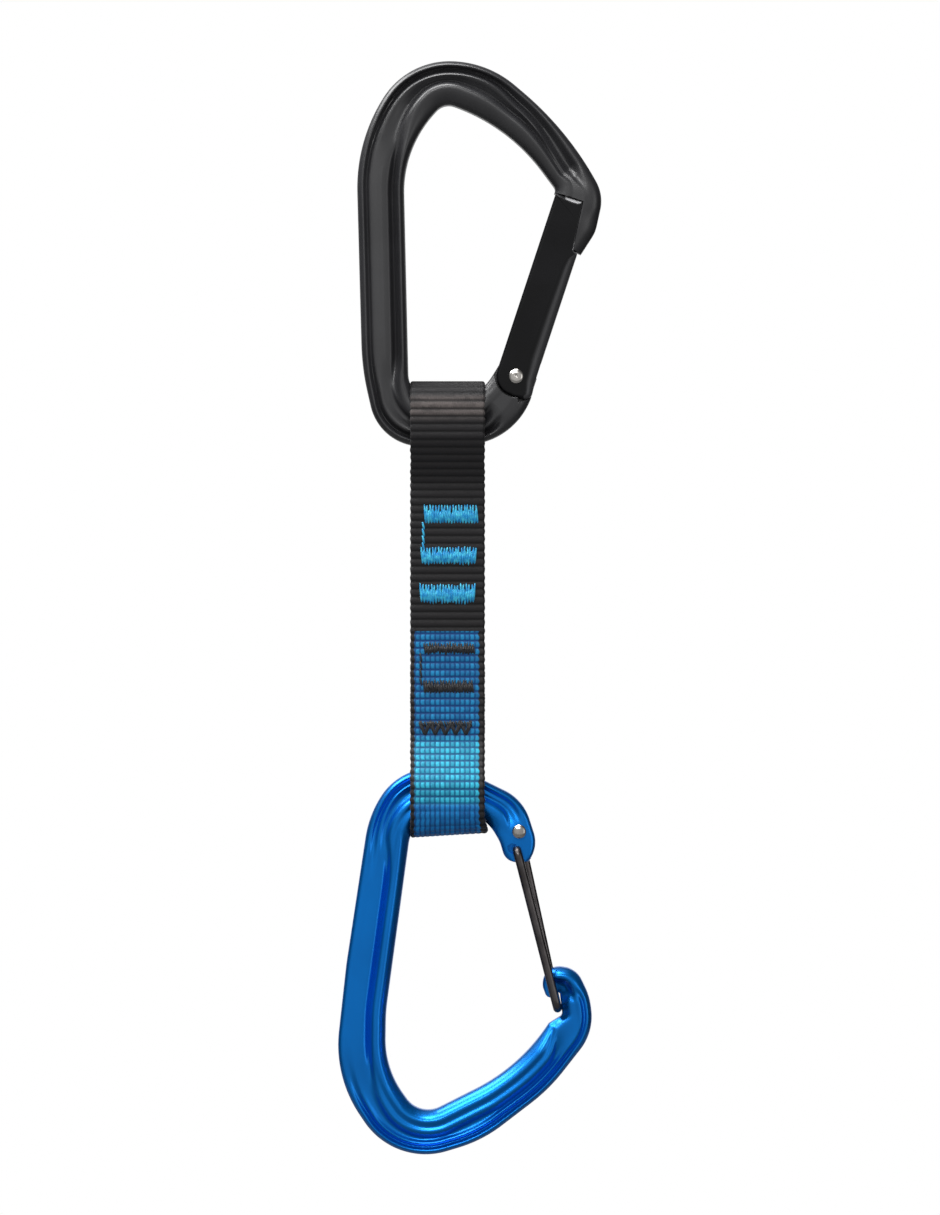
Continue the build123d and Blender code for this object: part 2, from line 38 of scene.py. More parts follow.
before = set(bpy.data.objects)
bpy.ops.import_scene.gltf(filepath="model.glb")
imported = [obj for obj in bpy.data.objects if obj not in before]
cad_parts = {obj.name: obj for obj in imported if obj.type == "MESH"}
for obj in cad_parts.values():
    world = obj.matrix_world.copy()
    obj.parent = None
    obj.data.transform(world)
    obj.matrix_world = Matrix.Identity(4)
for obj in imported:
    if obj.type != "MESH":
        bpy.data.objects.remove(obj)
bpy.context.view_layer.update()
MM = 0.001
rng = np.random.default_rng(12)

# ---------------------------------------------------------------- shared mesh tools

ARC_STEP, ARC_TURN = 0.3, radians(3)  # longest chord of a rounded corner, and its widest turn


def rounded_path(corners, closed=False):
    """Fine polyline through corners (a, b, radius), with an arc at each; its ends are sharp."""
    count = len(corners)
    spots = np.array([(a, b) for a, b, _ in corners], float)
    points = []
    for i, (a, b, radius) in enumerate(corners):
        if not closed and i in (0, count - 1):
            points.append((a, b))
            continue
        before = spots[i] - spots[i - 1]
        after = spots[(i + 1) % count] - spots[i]
        before /= np.hypot(*before)
        after /= np.hypot(*after)
        turn = atan2(before[0] * after[1] - before[1] * after[0], before @ after)
        reach = radius * tan(abs(turn) / 2)
        start = spots[i] - before * reach
        side = np.sign(turn)
        centre = start + side * radius * np.array((-before[1], before[0]))
        steps = max(2, ceil(abs(turn) / ARC_TURN), ceil(radius * abs(turn) / ARC_STEP))
        arm = start - centre
        for k in range(steps + 1):
            cosine, sine = cos(turn * k / steps), sin(turn * k / steps)
            a = centre[0] + arm[0] * cosine - arm[1] * sine
            b = centre[1] + arm[0] * sine + arm[1] * cosine
            points.append((a, b))
    return np.array(points)


def lengths(points):
    """Distance along a polyline at each of its points."""
    steps = np.hypot(*np.diff(points, axis=0).T)
    return np.concatenate([[0], np.cumsum(steps)])


def at_length(points, along, where):
    """Points of a polyline at the given distances along it."""
    return np.stack([np.interp(where, along, points[:, k]) for k in (0, 1)], axis=1)


def resampled(points, step):
    """The polyline again with even steps."""
    along = lengths(points)
    return at_length(points, along, np.linspace(0, along[-1], ceil(along[-1] / step) + 1))


def smoothed(values, half):
    """Moving average over half the window on each side, which keeps both ends."""
    padded = np.concatenate(
        [2 * values[0] - values[half:0:-1], values, 2 * values[-1] - values[-2 : -half - 2 : -1]]
    )
    return np.convolve(padded, np.ones(2 * half + 1) / (2 * half + 1), "valid")


def smoothstep(low, high, x):
    """Smooth rise from 0 at low to 1 at high."""
    t = np.clip((x - low) / (high - low), 0, 1)
    return t * t * (3 - 2 * t)


def mesh_object(name, points, faces, smooth_angle=None):
    """Object from points in millimetres, all shaded smooth up to the given angle."""
    mesh = bpy.data.meshes.new(name)
    mesh.from_pydata((np.asarray(points, float) * MM).tolist(), [], faces)
    obj = bpy.data.objects.new(name, mesh)
    bpy.context.scene.collection.objects.link(obj)
    tidy_normals(obj, smooth_angle)
    return obj


def tidy_normals(obj, smooth_angle=None):
    """Faces turned outwards and shaded smooth, with creases sharper than the angle kept."""
    work = bmesh.new()
    work.from_mesh(obj.data)
    bmesh.ops.recalc_face_normals(work, faces=work.faces)
    work.to_mesh(obj.data)
    work.free()
    obj.data.shade_smooth()
    if smooth_angle is not None:
        obj.data.set_sharp_from_angle(angle=radians(smooth_angle))


def capped_faces(rows, columns):
    """Faces of a closed solid of rings: quads between the rows, and a cap on each end."""
    faces = []
    for i in range(rows - 1):
        near, far = i * columns, (i + 1) * columns
        for j in range(columns):
            k = (j + 1) % columns
            faces.append((near + j, near + k, far + k, far + j))
    faces.append(tuple(range(columns - 1, -1, -1)))
    faces.append(tuple((rows - 1) * columns + j for j in range(columns)))
    return faces


def prism(name, polygon, low, high):
    """Straight solid on a polygon in the XZ plane, between two depths."""
    count = len(polygon)
    points = [(x, low, z) for x, z in polygon] + [(x, high, z) for x, z in polygon]
    faces = [tuple(range(count)), tuple(range(2 * count - 1, count - 1, -1))]
    faces += [(i, (i + 1) % count, count + (i + 1) % count, count + i) for i in range(count)]
    return mesh_object(name, points, faces)


WELD = 0.002  # points nearer than this become one after a cut
FLAT = 0.9995  # how squarely a face points to the front or back when it is shaded flat


def combined(obj, other, operation):
    """Cuts another solid from obj or joins it to obj; the other is used up."""
    modifier = obj.modifiers.new("solid", "BOOLEAN")
    modifier.operation = operation
    modifier.solver = "EXACT"
    modifier.object = other
    bpy.context.view_layer.update()
    graph = bpy.context.evaluated_depsgraph_get()
    result = bpy.data.meshes.new_from_object(obj.evaluated_get(graph))
    obj.modifiers.clear()
    obj.data = result
    work = bmesh.new()
    work.from_mesh(result)
    bmesh.ops.remove_doubles(work, verts=work.verts, dist=WELD * MM)
    bmesh.ops.dissolve_degenerate(work, edges=work.edges, dist=WELD / 2 * MM)
    work.to_mesh(result)
    work.free()
    for polygon in result.polygons:
        if abs(polygon.normal.y) > FLAT:
            polygon.use_smooth = False
    bpy.data.objects.remove(other)


def cut(obj, polygon, low, high):
    """A straight prism cut from obj."""
    combined(obj, prism("cutter", polygon, low, high), "DIFFERENCE")


def circle(centre_x, centre_z, radius, count=64):
    """Points round a circle in the XZ plane."""
    return [
        (centre_x + radius * cos(2 * pi * k / count), centre_z + radius * sin(2 * pi * k / count))
        for k in range(count)
    ]


def ring(spots, depth):
    """Points from places in the XZ plane and their depths."""
    return np.stack([spots[:, 0], depth, spots[:, 1]], axis=1)


def tube(points, radii, sides=10):
    """Points and faces of a closed tube along 3-D points, with a radius at each."""
    points = np.asarray(points, float)
    forward = np.gradient(points, axis=0)
    forward /= np.linalg.norm(forward, axis=1)[:, None]
    across = np.cross(forward, (0.3, 1.0, 0.2))  # a direction that no tube here follows
    across /= np.linalg.norm(across, axis=1)[:, None]
    other = np.cross(forward, across)
    angles = 2 * pi * np.arange(sides) / sides
    arms = (
        np.cos(angles)[None, :, None] * across[:, None]
        + np.sin(angles)[None, :, None] * other[:, None]
    )
    rings = points[:, None] + np.asarray(radii)[:, None, None] * arms
    return rings.reshape(-1, 3), capped_faces(len(points), sides)


def joined(parts):
    """Several (points, faces) as one."""
    points, faces, offset = [], [], 0
    for part_points, part_faces in parts:
        points.append(part_points)
        faces += [tuple(offset + v for v in face) for face in part_faces]
        offset += len(part_points)
    return np.concatenate(points), faces


def rounded_plate(name, outline_xz, reaches, half, drops):
    """Plate on a clockwise XZ outline whose rim curves in, by its own reach at each point.

    drops: how far the rim's edge lies below the plate's face, at each point.
    """
    outline = np.asarray(outline_xz, float)
    count = len(outline)
    edge = np.roll(outline, -1, axis=0) - np.roll(outline, 1, axis=0)
    edge /= np.hypot(*edge.T)[:, None]
    inward = np.stack([edge[:, 1], -edge[:, 0]], axis=1)
    reaches, drops = np.asarray(reaches, float), np.asarray(drops, float)
    # from the flat face out to the rim's edge; the first step only keeps the face flat
    steps = [(outline + inward * (reaches + 0.12)[:, None], np.full(count, half))]
    for a in np.linspace(pi / 2, 0, 9):
        spots = outline + inward * (reaches * (1 - cos(a)))[:, None]
        steps.append((spots, half - drops * (1 - sin(a))))
    rings = [ring(spots, -depth) for spots, depth in steps]
    rings += [ring(spots, depth) for spots, depth in steps[::-1]]
    return mesh_object(
        name, np.concatenate(rings), capped_faces(len(rings), count), smooth_angle=35
    )


# ---------------------------------------------------------------- forged frames

# Half sections of a frame: distances in and half thicknesses there, from the outer edge and
# then from the inner edge. The panel between them takes up what is left of the width.
SECTIONS = {
    "spine": (
        (0, 0, 0.4, 1.0, 1.5, 1.9, 2.4, 2.9, 3.5), (1.0, 1.9, 3.0, 3.9, 4.2, 3.6, 2.5, 3.2, 3.6),
        (0, 0, 0.5, 1.1, 1.6, 2.1, 3.0, 3.8, 4.3), (1.2, 2.8, 4.2, 5.2, 5.1, 3.7, 1.2, 2.6, 3.7),
    ),
    "bow": (
        (0, 0, 0.5, 1.1, 1.6, 2.1, 2.4, 3.2, 3.9), (0.8, 1.8, 3.0, 3.9, 3.5, 1.7, 1.6, 3.5, 4.4),
        (0, 0, 0.7, 1.7, 2.8, 4.0, 5.1, 5.8, 6.4), (1.2, 2.4, 3.5, 4.3, 4.9, 5.4, 5.3, 4.2, 1.7),
    ),
    "arm": (
        (0, 0, 0.4, 0.9, 1.5, 2.5, 2.9, 3.9, 4.6), (0.8, 1.7, 2.8, 3.6, 3.4, 1.6, 1.3, 3.0, 4.6),
        (0, 0, 0.7, 1.6, 2.6, 3.6, 4.4, 5.0, 5.5), (1.2, 2.4, 3.5, 4.2, 4.7, 5.1, 4.9, 3.9, 1.8),
    ),
    "scoop": (
        (0, 0, 0.5, 1.3, 2.1, 2.9, 3.9, 5.2, 6.1), (0.9, 1.9, 3.0, 3.8, 3.9, 3.0, 1.6, 2.0, 4.2),
        (0, 0, 0.7, 1.4, 2.0, 2.6, 3.1, 3.5, 3.9), (1.2, 2.7, 3.8, 4.3, 4.6, 4.8, 4.7, 4.1, 3.6),
    ),
    "plain": (
        (0, 0, 0.5, 1.3, 2.2, 3.1, 3.9, 4.5, 5.0), (0.9, 2.0, 3.1, 3.9, 4.3, 4.5, 4.6, 4.7, 4.7),
        (0, 0, 0.8, 1.8, 2.6, 3.3, 4.0, 4.6, 5.0), (1.2, 2.8, 4.1, 4.6, 4.8, 4.8, 4.8, 4.7, 4.7),
    ),
    "nose": (
        (0, 0, 0.6, 1.4, 2.2, 3.0, 3.8, 4.4, 5.0), (0.9, 1.6, 2.5, 3.2, 3.8, 4.2, 4.5, 4.7, 4.75),
        (0, 0, 0.8, 1.8, 2.6, 3.3, 4.0, 4.6, 5.0), (1.2, 2.8, 4.1, 4.6, 4.8, 4.8, 4.8, 4.8, 4.8),
    ),
    "low_spine": (
        (0, 0, 0.4, 1.0, 1.8, 2.6, 3.4, 4.2, 5.0), (1.2, 2.4, 3.3, 3.7, 3.8, 3.8, 3.8, 3.8, 3.75),
        (0, 0, 0.5, 1.3, 2.2, 3.1, 3.9, 4.6, 5.2), (0.8, 1.8, 3.1, 4.2, 4.8, 4.7, 4.0, 2.2, 3.7),
    ),
    "low_bow": (
        (0, 0, 0.5, 1.0, 1.5, 2.05, 2.6, 3.1, 3.6), (0.8, 1.6, 2.9, 3.6, 3.3, 2.0, 3.0, 3.8, 3.2),
        (0, 0, 0.5, 1.6, 3.0, 4.1, 5.0, 6.1, 7.2), (0.6, 1.6, 2.9, 4.4, 5.4, 4.1, 4.9, 4.9, 2.4),
    ),
    "low_neck": (
        (0, 0, 0.5, 1.0, 1.6, 2.2, 2.7, 3.3, 3.8), (0.8, 1.6, 2.8, 3.4, 3.3, 2.6, 2.4, 2.6, 2.4),
        (0, 0, 0.6, 1.3, 2.2, 3.2, 4.3, 5.4, 6.4), (0.7, 1.4, 2.3, 3.1, 3.7, 4.0, 4.1, 3.8, 2.3),
    ),
    "lobe": (
        (0, 0, 0.5, 1.2, 1.9, 2.5, 3.0, 3.5, 4.0), (1.2, 2.4, 3.2, 3.5, 3.6, 3.6, 3.6, 3.6, 3.6),
    ) * 2,
    "hook": (
        (0, 0, 0.5, 1.0, 1.5, 2.0, 2.6, 3.2, 4.0), (0.9, 2.0, 3.1, 3.8, 3.9, 3.1, 4.3, 4.5, 4.1),
        (0, 0, 0.3, 0.6, 0.9, 1.3, 1.7, 2.2, 3.0), (0.8, 1.5, 2.0, 2.2, 2.5, 3.0, 3.5, 3.9, 4.1),
    ),
    "hood": (
        (0, 0, 0.6, 1.2, 1.9, 2.8, 3.5, 4.1, 4.6), (1.0, 2.0, 3.1, 3.8, 4.4, 4.7, 4.2, 3.0, 2.3),
        (0, 0, 0.4, 0.8, 1.2, 1.6, 2.0, 2.4, 2.8), (0.6, 0.9, 1.2, 1.4, 1.5, 1.6, 1.7, 1.8, 2.0),
    ),
    "thin": (
        (0, 0, 0.5, 1.0, 1.3, 1.6, 1.8, 2.0, 2.2), (0.8, 1.5, 2.1, 2.3, 2.3, 2.3, 2.3, 2.3, 2.3),
        (0, 0, 0.3, 0.6, 0.9, 1.2, 1.5, 1.8, 2.0), (0.9, 1.6, 2.1, 2.3, 2.3, 2.3, 2.3, 2.3, 2.3),
    ),
}
SECTION_POINTS = 112
MOST_OF_WIDTH = 0.94  # share of a narrow frame's width that the two lists may take
EDGE_STEP, STATION_STEP = 0.05, 0.4  # along a frame's edges, and between its sections
SMOOTHING = 4  # sections on each side over which the matched edges are evened out


def closed_bspline(control, count):
    """Points of a closed uniform cubic B-spline."""
    control = np.asarray(control, float)
    where = np.linspace(0, len(control), count, endpoint=False)
    first = where.astype(int)
    t = (where - first)[:, None]
    p = [control[(first + k - 1) % len(control)] for k in range(4)]
    return (
        (1 - t) ** 3 * p[0]
        + (3 * t**3 - 6 * t**2 + 4) * p[1]
        + (-3 * t**3 + 3 * t**2 + 3 * t + 1) * p[2]
        + t**3 * p[3]
    ) / 6


def section(kinds, width):
    """Whole section, for a width, as (across, depth): front half outer to inner, then back.

    kinds are two section names and the share of the second.
    """
    first, second, share = kinds
    halves = []
    for kind in (first, second):
        outer, outer_half, inner, inner_half = map(np.array, SECTIONS[kind])
        squeeze = min(1, MOST_OF_WIDTH * width / (outer[-1] + inner[-1]))
        across = np.concatenate([outer * squeeze, width - inner[::-1] * squeeze])
        halves.append(np.stack([across, np.concatenate([outer_half, inner_half[::-1]])], axis=1))
    half = (1 - share) * halves[0] + share * halves[1]
    return closed_bspline(np.concatenate([half, half[::-1] * (1, -1)]), SECTION_POINTS)


def crossings(inner, outer):
    """Where the outward normals of the inner line meet the outer one, as distances along it."""
    along = lengths(outer)
    tangent = np.gradient(inner, axis=0)
    tangent /= np.hypot(*tangent.T)[:, None]
    normal = np.stack([-tangent[:, 1], tangent[:, 0]], axis=1)
    found = []
    for point, direction in zip(inner, normal):
        offset = outer - point
        aside = offset[:, 0] * direction[1] - offset[:, 1] * direction[0]
        ahead = offset @ direction
        hits = np.nonzero((aside[:-1] * aside[1:] <= 0) & (ahead[:-1] > 0))[0]
        if len(hits) == 0:
            found.append(np.nan)
            continue
        k = hits[np.argmin(ahead[hits])]
        share = aside[k] / (aside[k] - aside[k + 1] + 1e-12)
        found.append(along[k] + share * (along[k + 1] - along[k]))
    return np.array(found)


def nearest(line, spot):
    """Distance along a fine polyline of its point nearest to a spot."""
    return lengths(line)[np.argmin(np.hypot(*(line - spot).T))]


def forged(name, outer_path, inner_path, ties, stops):
    """Frame swept along two matched edges. Both paths run clockwise from one end to the other.

    ties: (outer spot, inner spot) where the edges are matched as listed; elsewhere they are
    matched along the inner edge's normals.
    stops: (inner spot, section name), in order.
    """
    outer = resampled(rounded_path(outer_path), EDGE_STEP)
    inner = resampled(rounded_path(inner_path), EDGE_STEP)
    outer_along, inner_along = lengths(outer), lengths(inner)
    matched = crossings(inner, outer)
    matched[0], matched[-1] = 0, outer_along[-1]
    for group in ties:
        tied_inner = [nearest(inner, spot) for _, spot in group]
        tied_outer = [nearest(outer, spot) for spot, _ in group]
        inside = (inner_along >= tied_inner[0]) & (inner_along <= tied_inner[-1])
        matched[inside] = np.interp(inner_along[inside], tied_inner, tied_outer)
    known = ~np.isnan(matched)
    matched = np.interp(inner_along, inner_along[known], matched[known])
    matched = np.maximum.accumulate(matched)
    travel = np.concatenate([[0], np.cumsum(np.diff(inner_along) + np.diff(matched)) / 2])
    travel += np.arange(len(travel)) * 1e-9  # so that it always rises
    even = np.linspace(0, travel[-1], ceil(travel[-1] / STATION_STEP) + 1)
    outer_at = smoothed(np.interp(even, travel, matched), SMOOTHING)
    inner_at = smoothed(np.interp(even, travel, inner_along), SMOOTHING)
    outer_spots = at_length(outer, outer_along, outer_at)
    inner_spots = at_length(inner, inner_along, inner_at)

    stop_at = np.array([nearest(inner, spot) for spot, _ in stops])
    rings = []
    for outer_spot, inner_spot, place in zip(outer_spots, inner_spots, inner_at):
        k = int(np.clip(np.searchsorted(stop_at, place) - 1, 0, len(stops) - 2))
        share = smoothstep(stop_at[k], stop_at[k + 1], place)
        width = hypot(*(inner_spot - outer_spot))
        across, depth = section((stops[k][1], stops[k + 1][1], share), width).T
        spots = outer_spot + (inner_spot - outer_spot) * (across / width)[:, None]
        rings.append(ring(spots, -depth))
    faces = capped_faces(len(rings), SECTION_POINTS)
    return mesh_object(name, np.concatenate(rings), faces, smooth_angle=40)


# Upper frame. Along and across the gate are measured from the rivet.
RIVET_X, RIVET_Z = 17.9, -71.4
GATE_TILT, GATE_OPEN = radians(18.3), radians(30)
TIP_R = 49.12  # the frame's face at the gate's tip
NOSE_END = 36.2
SHUT_TOP, SHUT_END = -2.3, -3.7  # across the gate: its face beside the nose
POCKET_R, TANG_R, TANG_HALF, TANG_END = 5.6, 4.2, 1.8, 1.2
KEY_R, KEY_NECK, KEY_CENTRE, KEY_INNER = 2.3, 1.2, 41.0, 1.0
RIVET_HOLE = 1.3
HEEL_END, HEEL_SIDE, HEEL_R = -3.9, -5.25, 6.85  # the gate's heel, on its outer side
THROUGH = 8  # depth of a cut that goes through a frame's face


def by_gate(along, across):
    """XZ point for a place in the gate's own axes."""
    return (
        RIVET_X + along * sin(GATE_TILT) - across * cos(GATE_TILT),
        RIVET_Z + along * cos(GATE_TILT) + across * sin(GATE_TILT),
    )


def gate_shape(spots):
    """XZ outline from places in the gate's own axes."""
    return [by_gate(*spot) for spot in spots]


def arc(radius, first, last, count):
    """Points round the rivet, in the gate's axes, between two angles in degrees."""
    angles = np.linspace(radians(first), radians(last), count)
    return [(radius * cos(a), radius * sin(a)) for a in angles]


upper_frame = forged(
    "upper_carabiner_frame",
    outer_path=[
        (25.4, -67.3, 0), (18.3, -86.9, 18.7), (3.2, -89.9, 12.5), (-18.0, -89.5, 13.6),
        (-22.6, -69.2, 64.9), (-24.2, -9.5, 44.2), (-10.8, 11.7, 20.6), (10.3, 11.4, 26.6),
        (31.2, -6.3, 83.6), (40.95, -23.6, 10.5), (38.8, -33.4, 9.0), (32.6, -43.0, 0),
    ],
    inner_path=[
        (15.0, -63.5, 0), (13.4, -68.4, 9.0), (8.0, -77.1, 15.1), (-10.2, -80.0, 8.2),
        (-11.8, -10.9, 30.5), (-1.0, 0.6, 4.3), (15.9, -5.5, 49.4), (28.3, -22.2, 1.6),
        (22.7, -39.6, 0),
    ],
    ties=[],
    stops=[
        ((15.0, -63.5), "plain"), ((9.4, -75.2), "plain"), ((5.6, -77.4), "bow"),
        ((-4.0, -79.0), "bow"), ((-10.8, -65.0), "spine"), ((-11.4, -20.0), "spine"),
        ((-3.5, -1.3), "bow"), ((6.0, -1.8), "bow"), ((15.0, -6.9), "arm"),
        ((26.9, -20.3), "scoop"), ((28.15, -22.8), "plain"), ((26.5, -27.5), "nose"),
        ((22.7, -39.6), "nose"),
    ],
)

# The gate's opening: along its tip, the shut face beside the nose, and the frame's shoulder
opening = arc(TIP_R, 16, -2.78, 24) + [
    (NOSE_END, SHUT_END - 0.06), (NOSE_END - 1.0, -9), (HEEL_END, -9), (HEEL_END, HEEL_SIDE - 0.1),
    (TANG_END - 0.01, HEEL_SIDE - 0.1), (TANG_END - 0.01, 14),
]
cut(upper_frame, gate_shape(opening), -THROUGH, THROUGH)
# Beside the tang: a round pocket, and room for the gate's heel and for its ears' straight
# inner side as it swings
heel_room = [(0, 0)] + arc(HEEL_R, -80, -158, 24)
cosine, sine = cos(GATE_OPEN), sin(GATE_OPEN)
ear_room = [
    (a * cosine - b * sine, a * sine + b * cosine)
    for a, b in ((0, -5.65), (8, -5.65), (8, 5.65), (0, 5.65))
]
for side in (-1, 1):
    low, high = sorted((side * TANG_HALF, side * THROUGH))
    cut(upper_frame, circle(RIVET_X, RIVET_Z, POCKET_R, 72), low, high)
    for room in (heel_room, ear_room):
        cut(upper_frame, gate_shape(room), low, high)
tang_outline = gate_shape(arc(TANG_R, 48, 312, 48) + [(2.8, -3.13), (2.8, 3.13)])
tang = prism("tang", tang_outline, 0.03 - TANG_HALF, TANG_HALF - 0.03)
combined(upper_frame, tang, "UNION")
cut(upper_frame, circle(RIVET_X, RIVET_Z, RIVET_HOLE), -THROUGH, THROUGH)


def key_bar(name, clearance, first, last):
    """Keyhole bar of the nose lock, swept across the gate round the rivet."""
    head, neck = KEY_R + clearance, KEY_NECK + clearance
    neck_angle = np.arcsin(neck / head)
    outline = [
        (KEY_CENTRE + head * cos(a), head * sin(a))
        for a in np.linspace(neck_angle, 2 * pi - neck_angle, 36)
    ] + [(TIP_R + 1, -neck), (TIP_R + 1, neck)]
    steps, points = 8, []
    for k in range(steps + 1):
        swing = (first + (last - first) * k / steps) / KEY_CENTRE
        for along, depth in outline:
            x, z = by_gate(along * cos(swing), along * sin(swing))
            points.append((x, depth, z))
    return mesh_object(name, points, capped_faces(steps + 1, len(outline)))


combined(upper_frame, key_bar("key", 0, -4.2, KEY_INNER), "UNION")

# Upper gate: a solid bar, flat at the front, whose outer side and heel are well rounded
GATE_HALF_WIDTH, GATE_HALF = 5.2, 4.3
BORE_R, BORE_ACROSS, BORE_END, PLUNGER_END = 1.56, 1.8, 24.0, 10.0
EAR_SLOT_HALF, EAR_SLOT_END = 2.05, 5.4

# corners (along, across, radius, reach of the rim's rounding, drop of the rim's edge)
gate_corners = [
    (6.0, GATE_HALF_WIDTH, 0, 0.9, 0.8), (46.5, GATE_HALF_WIDTH, 0, 0.9, 0.8),
    (48.72, GATE_HALF_WIDTH, 0.4, 0.5, 0.5), (48.9, 2.4, 0, 1.1, 1.2),
    (49.0, 0.8, 0, 1.35, 1.5), (48.96, -1.2, 0, 1.2, 1.4), (48.9, SHUT_TOP, 0.2, 0.3, 0.4),
    (48.0, SHUT_TOP - 0.1, 0, 0.25, 0.25), (36.8, SHUT_END + 0.06, 0, 0.25, 0.25),
    (36.0, SHUT_END, 0.1, 0.25, 0.3), (35.5, -GATE_HALF_WIDTH, 0.3, 0.5, 0.8),
    (33.6, -GATE_HALF_WIDTH, 0, 2.3, 2.2), (31.0, -GATE_HALF_WIDTH, 0, 2.8, 2.6),
    (20.0, -GATE_HALF_WIDTH, 0, 3.3, 2.8), (6.0, -GATE_HALF_WIDTH, 0, 3.6, 2.8),
    (0.0, HEEL_SIDE, 0, 3.0, 2.6), (-5.35, -5.7, 2.2, 1.8, 1.8), (-5.3, -1.2, 0, 0.8, 0.8),
]
# and round the rivet
gate_corners += [
    (GATE_HALF_WIDTH * cos(a), GATE_HALF_WIDTH * sin(a), 0, 0.9, 0.8)
    for a in np.linspace(-3.1, -4.71, 14)
]
round_gate = rounded_path([corner[:3] for corner in gate_corners], closed=True)
round_gate = resampled(np.concatenate([round_gate, round_gate[:1]]), 0.35)
corner_at = np.array([nearest(round_gate, corner[:2]) for corner in gate_corners])
order = np.argsort(corner_at)
rims = np.array([corner[3:] for corner in gate_corners])[order]
*where, total = lengths(round_gate)
reach, drop = (np.interp(where, corner_at[order], rims[:, k], period=total) for k in (0, 1))
upper_gate = rounded_plate("upper_gate_bar", gate_shape(round_gate[:-1]), reach, GATE_HALF, drop)
slot = [(-9, -9), (EAR_SLOT_END, -9), (EAR_SLOT_END, 9), (-9, 9)]
cut(upper_gate, gate_shape(slot), -EAR_SLOT_HALF, EAR_SLOT_HALF)
cut(upper_gate, circle(RIVET_X, RIVET_Z, RIVET_HOLE + 0.05), -THROUGH, THROUGH)
combined(upper_gate, key_bar("key_slot", 0.25, -5.6, KEY_INNER + 0.4), "DIFFERENCE")
bore_ends = gate_shape([(2.0, BORE_ACROSS), (BORE_END, BORE_ACROSS)])
bore = tube([(x, 0, z) for x, z in bore_ends], [BORE_R, BORE_R], sides=40)
combined(upper_gate, mesh_object("bore", *bore), "DIFFERENCE")

# Gate spring: a coil in the bore behind the plunger
COIL_R, COIL_WIRE, COIL_TURNS = 1.15, 0.24, 11
coil = []
for t in np.linspace(0, 1, COIL_TURNS * 20 + 1):
    angle = 2 * pi * COIL_TURNS * t
    along = PLUNGER_END + COIL_WIRE + (BORE_END - PLUNGER_END - 2 * COIL_WIRE) * t
    x, z = by_gate(along, BORE_ACROSS + COIL_R * cos(angle))
    coil.append((x, COIL_R * sin(angle), z))
gate_spring = mesh_object("upper_gate_coil", *tube(coil, np.full(len(coil), COIL_WIRE), sides=10))

# The wire's two riveted ends, domed over the plain ones
WIRE_HOLES = ((18.7, -190.9), (18.1, -195.7))  # XZ, at the front and at the back
# (depth, radius) along an end
SWAGE_ROUND = ((3.72, 1.8), (4.35, 1.8), (4.62, 1.55), (4.85, 1.0), (4.93, 0.4), (4.95, 0.02))
swage_heads = []
for label, side, (x, z) in zip(("front", "back"), (-1, 1), WIRE_HOLES):
    spine, radii = [(x, side * y, z) for y, _ in SWAGE_ROUND], [r for _, r in SWAGE_ROUND]
    swage_heads.append(mesh_object("swage_head_" + label, *tube(spine, radii, sides=40), 40))

# Lower frame. Its edges run on round the hook at one end and the gate's pivot at the other.
PIVOT_X, PIVOT_Z = 18.4, -193.3
HOLE_R, WIRE_OPEN = 1.25, radians(30)
RECESS_FLOOR = 1.4  # depth of the holes' recesses, from the middle

